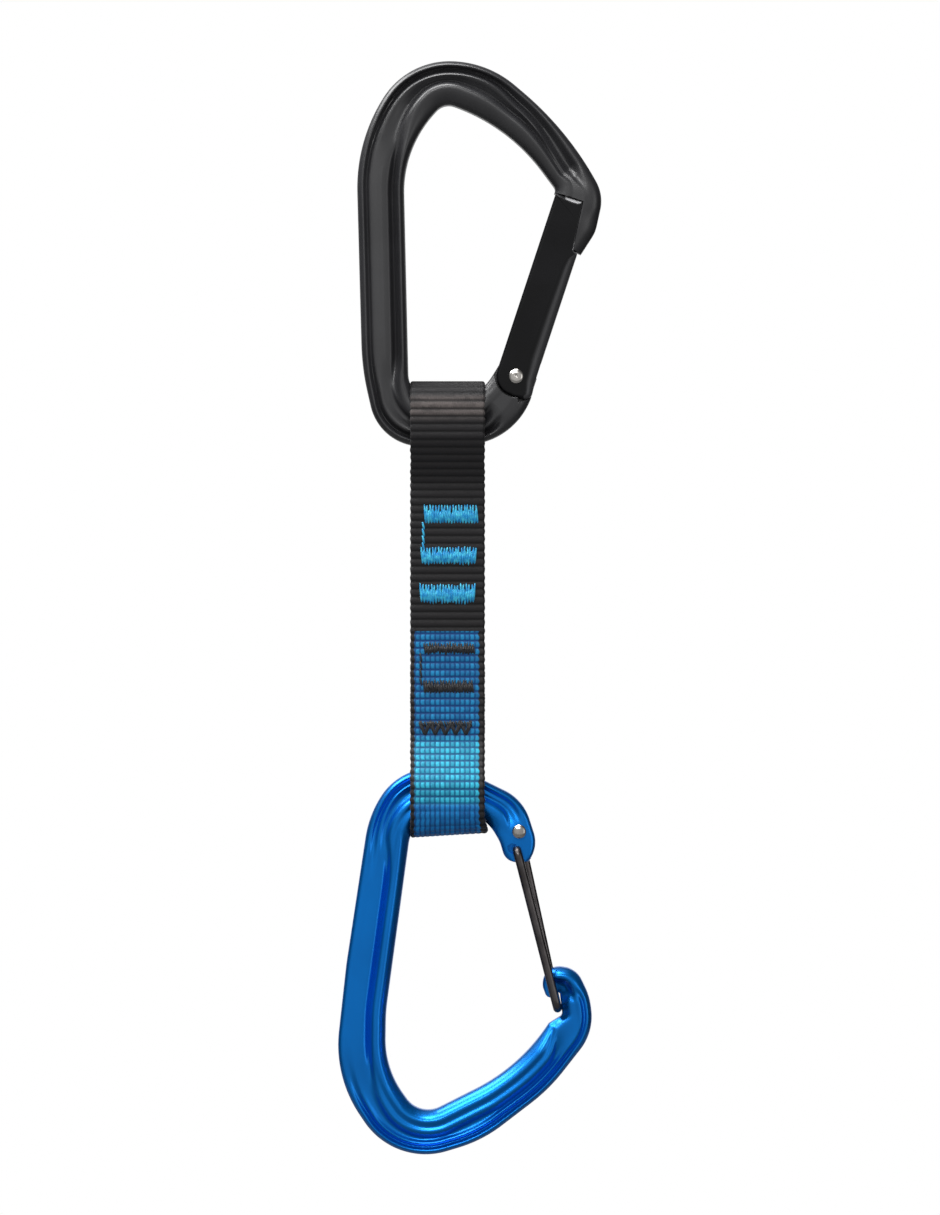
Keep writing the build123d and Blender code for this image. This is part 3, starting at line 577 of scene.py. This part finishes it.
lower_frame = forged(
    "lower_carabiner_frame",
    outer_path=[
        (27.3, -234.7, 0), (25.8, -234.3, 1.0), (24.9, -231.8, 2.0), (25.0, -225.9, 4.4),
        (33.8, -227.1, 6.0), (37.3, -234.4, 16.0), (38.4, -243.7, 14.0), (26.7, -258.7, 48.0),
        (9.1, -272.2, 35.6), (-14.0, -279.2, 19.4), (-30.0, -255.4, 33.0),
        (-26.7, -225.6, 60.8), (-20.8, -186.7, 27.6), (-13.0, -174.6, 15.9),
        (2.6, -174.2, 24.8), (19.8, -182.6, 12.7), (24.0, -195.6, 8.0), (21.0, -199.0, 3.0),
        (18.6, -199.0, 0),
    ],
    inner_path=[
        (27.6, -234.8, 0), (28.2, -234.9, 0.35), (28.2, -233.3, 0.5), (29.4, -233.3, 0.6),
        (30.1, -239.2, 1.2), (26.5, -241.45, 0.4), (18.9, -252.9, 49.5), (-7.4, -266.1, 6.9),
        (-16.5, -253.4, 24.3), (-16.3, -238.3, 51.3), (-9.6, -189.1, 8.9), (-0.6, -185.1, 10.0),
        (9.8, -187.2, 11.0), (13.6, -193.6, 9.0), (15.2, -199.0, 3.6), (18.0, -199.0, 0),
    ],
    ties=[
        [
            ((27.3, -234.7), (27.6, -234.8)), ((25.1, -232.6), (28.2, -234.4)),
            ((25.2, -228.6), (28.2, -233.8)), ((28.8, -226.4), (28.7, -233.3)),
            ((33.2, -228.0), (29.4, -233.5)), ((36.1, -232.4), (29.65, -235.2)),
            ((37.4, -237.2), (29.9, -237.4)), ((37.9, -242.6), (28.5, -240.2)),
            ((35.6, -248.6), (26.4, -241.6)), ((31.7, -252.5), (23.4, -246.2)),
        ],
        [
            ((21.0, -186.6), (12.5, -191.7)), ((22.4, -191.4), (14.2, -195.6)),
            ((22.4, -196.9), (15.6, -197.9)), ((18.6, -199.0), (18.0, -199.0)),
        ],
    ],
    stops=[
        ((27.6, -234.8), "thin"), ((28.2, -234.0), "thin"), ((28.7, -233.3), "hood"),
        ((29.5, -233.9), "hood"), ((29.8, -236.6), "hook"), ((28.5, -240.2), "hook"),
        ((22.0, -248.0), "low_bow"), ((-10.0, -262.6), "low_bow"),
        ((-16.4, -246.0), "low_spine"), ((-12.0, -206.0), "low_spine"),
        ((-5.0, -187.0), "low_bow"), ((1.0, -185.4), "low_bow"), ((9.6, -187.3), "low_neck"),
        ((10.8, -188.6), "low_neck"), ((13.3, -192.9), "lobe"), ((18.0, -199.0), "lobe"),
    ],
)
# Where a leg enters its hole, an oval recess leaves room for the leg's travel round the pivot
for (hole_x, hole_z), side in zip(WIRE_HOLES, (1, -1)):
    reach = hypot(hole_x - PIVOT_X, hole_z - PIVOT_Z)
    start = atan2(hole_z - PIVOT_Z, hole_x - PIVOT_X)
    oval = []
    for bulge, first, last in ((1, 0, -WIRE_OPEN), (-1, -WIRE_OPEN, 0)):
        for turn in np.linspace(first, last, 7):
            r = reach + bulge * HOLE_R
            oval.append((PIVOT_X + r * cos(start + turn), PIVOT_Z + r * sin(start + turn)))
        end = start + last
        for sweep in np.linspace(0, pi, 13)[1:-1]:
            a = end - sweep if bulge == 1 else end + pi + sweep
            x = PIVOT_X + reach * cos(end) + HOLE_R * cos(a)
            z = PIVOT_Z + reach * sin(end) + HOLE_R * sin(a)
            oval.append((x, z))
    cut(lower_frame, oval, *sorted((side * RECESS_FLOOR, side * THROUGH)))

# ---------------------------------------------------------------- webbing

WEB_WIDTH, WEB_X = 19.5, -0.1
LAYER, SELVAGE = 1.6, 0.6  # thickness, and how far in its edges round off
STRAP_STEP = 0.25  # along a strap's mesh
UPPER_HINGE_Z, LOWER_HINGE_Z, COLOUR_Z = -98.0, -168.0, -138.3
RIB_PITCH = 2.0  # of the black webbing's ribs
ROW_PITCH, YARN_PITCH = 1.9, 1.3  # of the blue webbing's weave


def strap(name, path, pitch, relief, across_step=0.26):
    """Woven strap along a path of (y, z, radius), with its weave as relief on both faces.

    relief(across, along) is in millimetres. Each point also carries its place in the weave.
    """
    fine = resampled(rounded_path(path), STRAP_STEP)
    along = lengths(fine)
    forward = np.gradient(fine, axis=0)
    forward /= np.hypot(*forward.T)[:, None]
    outward = np.stack([-forward[:, 1], forward[:, 0]], axis=1)
    columns = int(WEB_WIDTH / across_step) | 1
    half = WEB_WIDTH / 2
    inner_part = np.linspace(SELVAGE - half, half - SELVAGE, columns)
    turns = np.linspace(pi / 2, -pi / 2, 9)[1:-1]
    # one loop round the section: outer face left to right, right edge, back, left edge
    right = half - SELVAGE + SELVAGE * np.cos(turns)
    base_x = np.concatenate([inner_part, right, inner_part[::-1], -right])
    flat = np.ones(columns)
    face = np.concatenate([flat, np.sin(turns), -flat, -np.sin(turns)])
    rows, count = len(fine), len(base_x)
    across_grid = np.broadcast_to(base_x, (rows, count))
    along_grid = np.broadcast_to(along[:, None], (rows, count))
    out = face * (LAYER / 2 + relief(across_grid, along_grid))
    # each rib stands a little proud of the selvage, so the edge is slightly wavy
    waver = 0.09 * np.cos(2 * pi * along_grid / pitch) + 0.06 * np.sin(along_grid * 0.9 + 1.7)
    x = across_grid * (1 + waver / half) + WEB_X
    y = fine[:, 0][:, None] + outward[:, 0][:, None] * out
    z = fine[:, 1][:, None] + outward[:, 1][:, None] * out
    points = np.stack([x, y, z], axis=2).reshape(-1, 3)
    obj = mesh_object(name, points, capped_faces(rows, count), smooth_angle=60)
    weave = obj.data.attributes.new("weave", "FLOAT_VECTOR", "POINT")
    places = np.stack([across_grid, along_grid, z], axis=2).reshape(-1, 3)
    weave.data.foreach_set("vector", places.astype(np.float32).ravel())
    return obj


def ribbed(across, along):
    """Cross ribs with fine lengthwise yarns over them."""
    rib = np.abs(np.cos(pi * along / RIB_PITCH)) ** 0.7
    yarn = np.abs(np.cos(pi * across / 0.66)) ** 0.8
    return -0.02 + 0.2 * rib - 0.13 + 0.03 * yarn * rib


def checked(across, along):
    """Rows of separate yarn knuckles, with plain ribs on the selvages."""
    row = np.abs(np.cos(pi * along / ROW_PITCH)) ** 0.6
    yarn = np.abs(np.cos(pi * across / YARN_PITCH)) ** 0.6
    return 0.26 * row * (0.35 + 0.65 * yarn) - 0.14


BAR_HALF = 5.0
UPPER_ROOM, LOWER_ROOM = 0.15, 1.1  # between bar and strap; the lower one holds the insert
UPPER_TOP, LOWER_BOTTOM = -73.4, -191.0  # middle of the strap where it crosses the bars


def bar_loop(side, hinge_z, wide_z, turn_z, room):
    """Strap's path from the colour change on one side, round a bar and back on the other."""
    out = BAR_HALF + room + LAYER / 2
    half = [
        (LAYER, COLOUR_Z, 0), (LAYER, hinge_z, 9.0), (out, wide_z, 7.0), (out, turn_z, out - 0.2)
    ]
    return [(side * y, z, r) for y, z, r in half] + [(-side * y, z, r) for y, z, r in half[::-1]]


upper_path = bar_loop(-1, UPPER_HINGE_Z - 1.0, -87.5, UPPER_TOP, UPPER_ROOM)
black_webbing = strap("black_webbing", upper_path, RIB_PITCH, ribbed)
lower_path = bar_loop(1, LOWER_HINGE_Z + 1.0, -178.3, LOWER_BOTTOM, LOWER_ROOM)
blue_webbing = strap("blue_webbing", lower_path, ROW_PITCH, checked)
# At its lower turn the strap hangs a little loose and crooked, and its right edge spreads
spots = np.empty(3 * len(blue_webbing.data.vertices), np.float32)
blue_webbing.data.vertices.foreach_get("co", spots)
spots = spots.reshape(-1, 3)
share = np.clip((-184 - spots[:, 2] / MM) / 7, 0, 1) ** 2
side = (spots[:, 0] / MM - WEB_X) / WEB_WIDTH
spots[:, 0] += share * np.clip(side - 0.3, 0, 1) * 4 * MM
spots[:, 2] += share * (1.2 * side - 0.2) * MM
blue_webbing.data.vertices.foreach_set("co", spots.ravel())
inner_tail = strap(
    "inner_webbing",
    [(0, LOWER_HINGE_Z - 2.0, 0), (0, UPPER_HINGE_Z + 2.0, 0)],
    RIB_PITCH,
    lambda across, along: 0.08 * (np.abs(np.cos(pi * along / RIB_PITCH)) - 1),
    across_step=1.0,
)

# ---------------------------------------------------------------- bar tacks

STRAP_FACE = 1.5 * LAYER
THREAD_R = 0.29
DENSE, LOOSE = 0.37, 0.62  # between the threads of a tack's two layers


def stitch(start, end, face_y, lift):
    """One thread over the strap: both ends dive in and its middle is lifted."""
    t = np.linspace(0, 1, 9)
    arch = np.sin(pi * t) ** 0.6
    x = start[0] + (end[0] - start[0]) * t
    z = start[1] + (end[1] - start[1]) * t
    side = np.sign(face_y)
    y = face_y + side * (lift * arch - 0.22 * (1 - arch))
    return tube(np.stack([x, y, z], axis=1), THREAD_R * (0.55 + 0.45 * arch), sides=8)


def sewn(name, node, parts):
    """One piece from many stitches, in place of its CAD node."""
    tack = mesh_object(name, *joined(parts))
    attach(tack, "sling")
    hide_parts(node)
    return tack


def bar_tack(name, node, z, height, left, right, jump_to=None):
    """Dense zigzag of thread across the strap, with ragged upper ends, on both faces."""
    parts = []
    for side in (-1, 1):
        face_y = side * STRAP_FACE
        count = int((right - left) / DENSE)
        for k, x in enumerate(np.linspace(left + 0.2, right - 0.2, count)):
            # longer stitches stand out as teeth along the upper edge
            tooth = 0.34 * (k // 2 % 2)
            top = z + height * (0.5 - tooth * rng.uniform(0.7, 1.1)) + rng.normal(0, 0.12)
            bottom = z - height * 0.5 + rng.normal(0, 0.12)
            lean = 0.22 * (1 if k % 2 else -1) + rng.normal(0, 0.05)
            parts.append(stitch((x + lean, top), (x - lean, bottom), face_y, 0.12 + 0.05 * (k % 3)))
        for x in np.linspace(left + 0.5, right - 0.5, int((right - left) / LOOSE)):
            top = z + height * 0.22 + rng.normal(0, 0.15)
            bottom = z - height * 0.40 + rng.normal(0, 0.12)
            lean = rng.normal(0, 0.16)
            parts.append(stitch((x + lean, top), (x - lean, bottom), face_y, 0.34))
    if jump_to:
        # a few slanting stitches lead down the side to the next tack
        x, low = jump_to
        ends = np.linspace(z - height * 0.4, low, 5)
        for high, deep in zip(ends, ends[1:]):
            parts.append(stitch((x - 0.25, high), (x + 0.25, deep - 0.3), -STRAP_FACE, 0.12))
    return sewn(name, node, parts)


def open_zigzag(name, node, z, height, left, right, teeth):
    """Thin row of stitches: a few bold teeth hanging from an uneven upper line."""
    parts = []
    pitch = (right - left) / teeth
    for side in (-1, 1):
        face_y = side * STRAP_FACE
        for k in range(teeth):
            x = left + k * pitch
            for lane in (-0.4, -0.1, 0.2):
                top = z + height * 0.5 + rng.normal(0, 0.1)
                lift = 0.1 + 0.1 * rng.random()
                tip = (x + pitch / 2 + lane * 0.4, z - height * 0.5)
                parts.append(stitch((x + lane, top), tip, face_y, lift))
                parts.append(stitch(tip, (x + pitch + lane, top), face_y, lift + 0.1))
        for x in np.linspace(left + 0.3, right - 0.3, 18):
            start = (x, z + height * 0.45 + rng.normal(0, 0.08))
            parts.append(stitch(start, (x + rng.normal(0.5, 0.2), z + height * 0.1), face_y, 0.3))
    return sewn(name, node, parts)


blue_tacks = [
    bar_tack("blue_stitching_upper", "blue_tack_upper", -107.6, 5.0, -6.2, 7.8, (-6.45, -116.8)),
    bar_tack("blue_stitching_middle", "blue_tack_middle", -118.4, 4.8, -7.0, 7.4),
    bar_tack("blue_stitching_lower", "blue_tack_lower", -128.4, 5.2, -7.3, 7.1),
]
black_tacks = [
    bar_tack("black_stitching_upper", "black_tack_upper", -142.8, 3.0, -6.3, 7.0, (-7.1, -152.4)),
    bar_tack("black_stitching_middle", "black_tack_middle", -152.8, 3.6, -6.4, 6.7),
    open_zigzag("black_stitching_lower", "black_tack_lower", -163.8, 3.9, -7.3, 6.1, 5),
]

# ---------------------------------------------------------------- materials


class Nodes:
    """Short way to write the node tree of a material or of the world."""

    def __init__(self, owner, shader):
        owner.use_nodes = True
        self.owner, self.tree = owner, owner.node_tree
        self.shader = self.tree.nodes[shader]

    def add(self, kind, settings=None, **inputs):
        """New node; its inputs are given by name, or by number as _0."""
        node = self.tree.nodes.new("ShaderNode" + kind)
        for key, value in (settings or {}).items():
            setattr(node, key, value)
        for key, value in inputs.items():
            key = int(key[1:]) if key[0] == "_" else key.replace("_", " ")
            self.plug(value, node.inputs[key])
        return node

    def plug(self, value, socket):
        if isinstance(value, bpy.types.NodeSocket):
            self.tree.links.new(value, socket)
        else:
            socket.default_value = value

    def math(self, operation, a, b=0.0, c=0.0):
        return self.add("Math", {"operation": operation}, _0=a, _1=b, _2=c).outputs[0]

    def times(self, a, b):
        return self.math("MULTIPLY", a, b)

    def ramp(self, value, low, high, to_low=0.0, to_high=1.0):
        smooth = {"interpolation_type": "SMOOTHSTEP"}
        node = self.add("MapRange", smooth, _0=value, _1=low, _2=high, _3=to_low, _4=to_high)
        return node.outputs[0]

    def mix(self, share, a, b):
        return self.add("Mix", {"data_type": "RGBA"}, _0=share, _6=a, _7=b).outputs[2]

    def noise(self, vector, scale, detail=3.0):
        return self.add("TexNoise", None, Vector=vector, Scale=scale, Detail=detail).outputs["Fac"]

    def place(self):
        return self.add("TexCoord").outputs["Object"]

    def split(self, vector):
        return self.add("SeparateXYZ", None, Vector=vector).outputs

    def stretched(self, vector, x, y, z):
        return self.add("Mapping", None, Vector=vector, Scale=(x, y, z)).outputs[0]

    def bump(self, height, distance):
        node = self.add("Bump", None, Height=height, Distance=distance)
        self.plug(node.outputs[0], self.shader.inputs["Normal"])

    def surface(self, colour, roughness, **constants):
        self.plug(colour, self.shader.inputs["Base Color"])
        self.plug(roughness, self.shader.inputs["Roughness"])
        for key, value in constants.items():
            self.shader.inputs[key.replace("_", " ")].default_value = value
        return self.owner


def new_material(name):
    return Nodes(bpy.data.materials.new(name), "Principled BSDF")


# The gate's paler painted sheen on its outer side's slopes, and the bright painted highlight on its
# tip's bevel, with the highlight's place in metres
PAINTED_SIDE_SHEEN, PAINTED_TIP_HIGHLIGHT = (0.05, 0.05, 0.053), (0.75, 0.75, 0.77)
TIP_HIGHLIGHT_X, TIP_HIGHLIGHT_Z, TIP_HIGHLIGHT_FADE = (0.0306, 0.0353), (-0.030, -0.028), 0.0006


def anodised(name, colour, pale, roughness, metallic, grain, gate=False, **constants):
    """Anodised aluminium: faint mottling and a very fine tumbled grain.

    On the gate: a paler painted sheen on its outer side's slopes, a painted highlight on its tip's
    upward bevel.
    """
    n = new_material(name)
    place = n.place()
    mottle = n.noise(place, 70.0, 4.0)
    fine = n.noise(place, 1900.0, 2.0)
    shade = n.mix(n.ramp(mottle, 0.35, 0.7), (*colour, 1), (*pale, 1))
    if gate:
        normal, spot = n.split(n.add("TexCoord").outputs["Normal"]), n.split(place)
        sloped = n.ramp(n.math("ABSOLUTE", normal[1]), 0.93, 0.998, 1.0, 0.0)
        # painted sheen: slopes turned to the right, towards the side lamp, are paler
        shade = n.mix(n.times(sloped, n.ramp(normal[0], 0.0, 0.15)), shade, (*PAINTED_SIDE_SHEEN, 1))
        # painted highlight: the tip's upward-facing bevel is painted near white, in mottled patches
        painted_highlight = n.times(sloped, n.ramp(normal[2], 0.15, 0.4))
        painted_highlight = n.times(painted_highlight, n.ramp(spot[0], TIP_HIGHLIGHT_X[0], TIP_HIGHLIGHT_X[0] + TIP_HIGHLIGHT_FADE))
        painted_highlight = n.times(painted_highlight, n.ramp(spot[0], TIP_HIGHLIGHT_X[1] - TIP_HIGHLIGHT_FADE, TIP_HIGHLIGHT_X[1], 1.0, 0.0))
        painted_highlight = n.times(painted_highlight, n.ramp(spot[2], *TIP_HIGHLIGHT_Z))
        painted_highlight = n.times(painted_highlight, n.ramp(mottle, 0.3, 0.5, 0.6, 1.0))
        shade = n.mix(painted_highlight, shade, (*PAINTED_TIP_HIGHLIGHT, 1))
    rough = n.math("MULTIPLY_ADD", fine, 0.04, roughness - 0.02)
    rough = n.math("MULTIPLY_ADD", mottle, 0.05, n.math("SUBTRACT", rough, 0.025))
    n.bump(n.math("ADD", fine, n.times(mottle, 0.3)), grain)
    return n.surface(shade, rough, Metallic=metallic, **constants)


def steel(name, colour, roughness, stretch):
    """Bare steel with fine drawing lines."""
    n = new_material(name)
    lines = n.noise(n.stretched(n.place(), *stretch), 1500.0, 3.0)
    blotch = n.noise(n.place(), 260.0, 2.0)
    dark = tuple(0.6 * c for c in colour)
    shade = n.mix(n.ramp(blotch, 0.35, 0.75), (*colour, 1), (*dark, 1))
    n.bump(lines, 0.00002)
    return n.surface(shade, n.math("MULTIPLY_ADD", lines, 0.2, roughness - 0.1), Metallic=1.0)


def weave_place(n):
    """Place on a strap: as a vector, across and along it, and its height at rest."""
    vector = n.add("Attribute", {"attribute_name": "weave"}).outputs["Vector"]
    return vector, *n.split(vector)


def wave(n, distance, pitch):
    """From 0 in the grooves to 1 on the ribs, one rib to each pitch."""
    return n.math("ABSOLUTE", n.math("COSINE", n.times(distance, pi / pitch)))


def fibre_height(n, vector):
    """Fine filaments that run along the strap."""
    return n.noise(n.stretched(vector, 9.0, 1.1, 0.0), 1.0, 4.0)


def black_web_material():
    """Ribbed webbing, with fine filaments over its ribs."""
    n = new_material("black_webbing")
    vector, _, along, height = weave_place(n)
    fibre = fibre_height(n, vector)
    rib = wave(n, along, RIB_PITCH)
    tone = n.times(n.ramp(rib, 0.1, 0.95, 0.2, 1.0), n.ramp(fibre, 0.3, 0.7, 0.7, 1.2))
    shade = n.mix(tone, (0.0025, 0.0025, 0.003, 1), (0.013, 0.012, 0.0135, 1))
    # painted sheen: ribs paler in a band where the strap curves over the bar, in patches
    painted_highlight = n.times(n.ramp(height, -84.0, -79.5), n.ramp(height, -75.8, -78.0))
    patches = n.ramp(n.noise(vector, 0.35), 0.3, 0.6, 0.6, 1.0)
    painted_highlight = n.times(n.times(painted_highlight, tone), patches)
    n.bump(fibre, 0.00009)
    return n.surface(
        n.mix(painted_highlight, shade, (0.14, 0.12, 0.115, 1)), 0.6, Sheen_Weight=0.1, Sheen_Roughness=0.4,
        Specular_IOR_Level=0.3,
    )


def blue_web_material():
    """Checked weave between black selvages, each knuckle with its own shade."""
    n = new_material("blue_webbing")
    vector, across, along, height = weave_place(n)
    fibre = fibre_height(n, vector)
    row = wave(n, along, ROW_PITCH)
    yarn = wave(n, across, YARN_PITCH)
    turn_part = n.ramp(height, -184.5, -182.5, 1.0, 0.0)
    knuckle = n.math("MAXIMUM", n.ramp(row, 0.15, 0.8), n.times(turn_part, 0.9))
    knuckle = n.times(knuckle, n.ramp(yarn, 0.15, 0.85, 0.1, 1.0))
    column = n.math("ROUND", n.math("DIVIDE", across, YARN_PITCH))
    line = n.math("ROUND", n.math("DIVIDE", along, ROW_PITCH))
    cell = n.add("CombineXYZ", None, X=column, Y=line)
    chance = n.add("TexWhiteNoise", {"noise_dimensions": "2D"}, Vector=cell.outputs[0])
    bright = n.ramp(chance.outputs[0], 0.0, 1.0, 0.55, 1.1)
    low_part = n.ramp(height, -168.5, -165.0, 1.0, 0.0)
    pale = n.mix(low_part, (0.012, 0.27, 0.58, 1), (0.035, 0.53, 0.75, 1))
    pale = n.mix(turn_part, pale, (0.008, 0.24, 0.64, 1))
    deep = n.mix(low_part, (0.001, 0.05, 0.2, 1), (0.002, 0.1, 0.24, 1))
    deep = n.mix(turn_part, deep, (0.002, 0.06, 0.24, 1))
    tone = n.times(n.times(knuckle, bright), n.ramp(fibre, 0.3, 0.7, 0.75, 1.2))
    woven = n.mix(tone, deep, pale)
    # black selvages of uneven width
    waver = n.times(n.math("SINE", n.times(along, 3.3)), 0.12)
    right = n.ramp(n.math("ADD", across, waver), 8.1, 8.35)
    left = n.ramp(n.math("ADD", across, waver), -8.8, -8.55, 1.0, 0.0)
    edge = n.math("MAXIMUM", right, left)
    black = n.mix(n.ramp(row, 0.1, 0.9), (0.003, 0.003, 0.004, 1), (0.022, 0.02, 0.021, 1))
    n.bump(fibre, 0.00009)
    return n.surface(
        n.mix(edge, woven, black), 0.5, Sheen_Weight=0.12, Sheen_Roughness=0.35,
        Specular_IOR_Level=0.3,
    )


def thread_material(name, colour, pale):
    """Twisted sewing thread with slightly paler worn tops."""
    n = new_material(name)
    place = n.place()
    twist = n.noise(n.stretched(place, 1.0, 1.0, 0.25), 5200.0, 2.0)
    patch = n.noise(place, 700.0, 2.0)
    n.bump(twist, 0.00005)
    share = n.times(n.ramp(patch, 0.35, 0.7), n.ramp(twist, 0.3, 0.7, 0.5, 1.0))
    return n.surface(
        n.mix(share, (*colour, 1), (*pale, 1)), 0.42, Sheen_Weight=0.2, Sheen_Roughness=0.4
    )


def rubber_material():
    n = new_material("rubber")
    place = n.place()
    grain = n.noise(place, 1800.0, 3.0)
    n.bump(grain, 0.00005)
    patches = n.ramp(n.noise(place, 120.0), 0.3, 0.7)
    shade = n.mix(patches, (0.012, 0.012, 0.012, 1), (0.025, 0.024, 0.024, 1))
    return n.surface(shade, n.math("MULTIPLY_ADD", grain, 0.15, 0.62))


def coat(obj, made):
    """Makes this the object's only material."""
    obj.data.materials.clear()
    obj.data.materials.append(made)


def dress(obj, made):
    """Gives an object its material."""
    coat(obj, made)


black_metal = anodised(
    "black_anodised", (0.016, 0.016, 0.018), (0.021, 0.021, 0.0235), 0.36, 0.0, 0.000005, IOR=1.65
)
gate_metal = anodised(
    "black_gate", (0.002, 0.002, 0.0025), (0.004, 0.004, 0.005), 0.25, 0.0, 0.00001,
    gate=True, Specular_IOR_Level=0.25,
)
blue_metal = anodised(
    "blue_anodised", (0.0, 0.2, 0.7), (0.0, 0.22, 0.76), 0.3, 0.85, 0.000001,
    Coat_Weight=0.15, Coat_Roughness=0.18,
)
bright_steel = steel("polished_steel", (0.75, 0.72, 0.68), 0.2, (1, 1, 1))
wire_metal = steel("wire_steel", (0.125, 0.115, 0.116), 0.32, (6, 6, 0.3))
black_web, blue_web = black_web_material(), blue_web_material()
blue_thread = thread_material("blue_thread", (0.002, 0.27, 0.62), (0.08, 0.68, 0.88))
black_thread = thread_material("black_thread", (0.008, 0.009, 0.012), (0.03, 0.03, 0.034))
rubber = rubber_material()

dress(upper_frame, black_metal)
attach(upper_frame, "upper_carabiner")
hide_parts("upper_frame")
dress(lower_frame, blue_metal)
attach(lower_frame, "lower_carabiner")
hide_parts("lower_frame")

dress(upper_gate, gate_metal)
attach(upper_gate, "upper_gate")
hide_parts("upper_gate")
for head in swage_heads:
    dress(head, bright_steel)
    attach(head, "wire_gate")
dress(gate_spring, bright_steel)
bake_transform(gate_spring)
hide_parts("upper_gate_spring")

for node, made in (
    ("upper_gate_rivet", bright_steel),
    ("upper_gate_plunger", bright_steel),
    ("wire_gate", wire_metal),
    ("lower_keeper", rubber),
):
    coat(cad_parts[node], made)

dress(black_webbing, black_web)
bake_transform(black_webbing)
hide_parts("upper_loop", "front_webbing_black", "back_webbing_black")
dress(blue_webbing, blue_web)
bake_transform(blue_webbing)
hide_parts("lower_loop", "front_webbing_blue", "back_webbing_blue")
dress(inner_tail, black_web)
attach(inner_tail, "sling")
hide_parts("inner_tail")
for tack in blue_tacks:
    dress(tack, blue_thread)
for tack in black_tacks:
    dress(tack, black_thread)

# ---------------------------------------------------------------- camera, light and floor

# from here on in metres
DISTANCE, VIEW_HEIGHT, SENSOR = 1.4, 0.3197, 36
MIDDLE = (0, 0, -0.13)  # of the object
camera_data = bpy.data.cameras.new("camera")
camera_data.sensor_width = SENSOR
camera_data.lens = SENSOR * DISTANCE / VIEW_HEIGHT
camera = bpy.data.objects.new("camera", camera_data)
camera.location = (0.0058, -DISTANCE, -0.1321)
camera.rotation_euler = (pi / 2, 0, 0)
bpy.context.scene.collection.objects.link(camera)
bpy.context.scene.camera = camera
bpy.context.scene.view_settings.view_transform = "Standard"


def softbox(name, place, width, height, power):
    """Rectangular lamp that faces the object."""
    light = bpy.data.lights.new(name, "AREA")
    light.shape = "RECTANGLE"
    light.size, light.size_y = width, height
    light.energy = power
    obj = bpy.data.objects.new(name, light)
    obj.location = place
    obj.rotation_euler = (Vector(MIDDLE) - Vector(place)).to_track_quat("-Z", "Y").to_euler()
    bpy.context.scene.collection.objects.link(obj)


softbox("front", (-0.15, -0.95, 0.5), 0.6, 0.25, 4.5)
softbox("top", (-0.1, -0.1, 0.6), 0.5, 0.3, 4.6)
softbox("upper_left", (-0.45, 0.05, 0.45), 0.7, 0.3, 5)
softbox("side", (1.0, -0.7, -0.1), 0.5, 0.8, 1.2)

# Floor below the view, which keeps the soft shadow
FLOOR_R, FLOOR_Z, FLOOR_SIDES = 0.44, -0.36, 96
rim = circle(0, 0, FLOOR_R / MM, FLOOR_SIDES)
floor_points = [(0, 0, FLOOR_Z / MM)] + [(x, y, FLOOR_Z / MM) for x, y in rim]
wedges = [(0, 1 + k, 1 + (k + 1) % FLOOR_SIDES) for k in range(FLOOR_SIDES)]
floor = mesh_object("floor", floor_points, wedges)
n = new_material("pale_floor")
speckle = n.noise(n.place(), 60.0)
pale = n.mix(speckle, (0.84, 0.84, 0.84, 1), (0.9, 0.9, 0.9, 1))
# darker for the light it throws back, as a floor further away would be
for_camera = n.add("LightPath").outputs["Is Camera Ray"]
floor.data.materials.append(n.surface(n.mix(for_camera, (0.12, 0.12, 0.12, 1), pale), 0.8))

# Studio: white for the camera and behind the object; for the light a dim room, brighter in
# front and at the upper left
world = bpy.data.worlds.new("studio")
bpy.context.scene.world = world
n = Nodes(world, "Background")
x, y, z = n.split(n.add("TexCoord").outputs["Generated"])
rays = n.add("LightPath").outputs
seen = n.math("MAXIMUM", rays["Is Camera Ray"], rays["Is Transmission Ray"])
seen = n.math("MAXIMUM", seen, n.times(rays["Is Glossy Ray"], n.ramp(y, 0.75, 1.0)))
front = n.ramp(y, 0.0, -1.0, 0.05, 0.5)
above = n.ramp(n.math("MULTIPLY_ADD", x, -0.45, z), 0.6, 1.0, 0.0, 0.6)
below = n.ramp(z, -0.55, -0.85, 0.0, 0.3)
room = n.math("ADD", n.math("ADD", above, below), front)
strength = n.math("ADD", n.times(seen, n.math("SUBTRACT", 1.0, room)), room)
n.plug((1, 1, 1, 1), n.shader.inputs["Color"])
n.plug(strength, n.shader.inputs["Strength"])
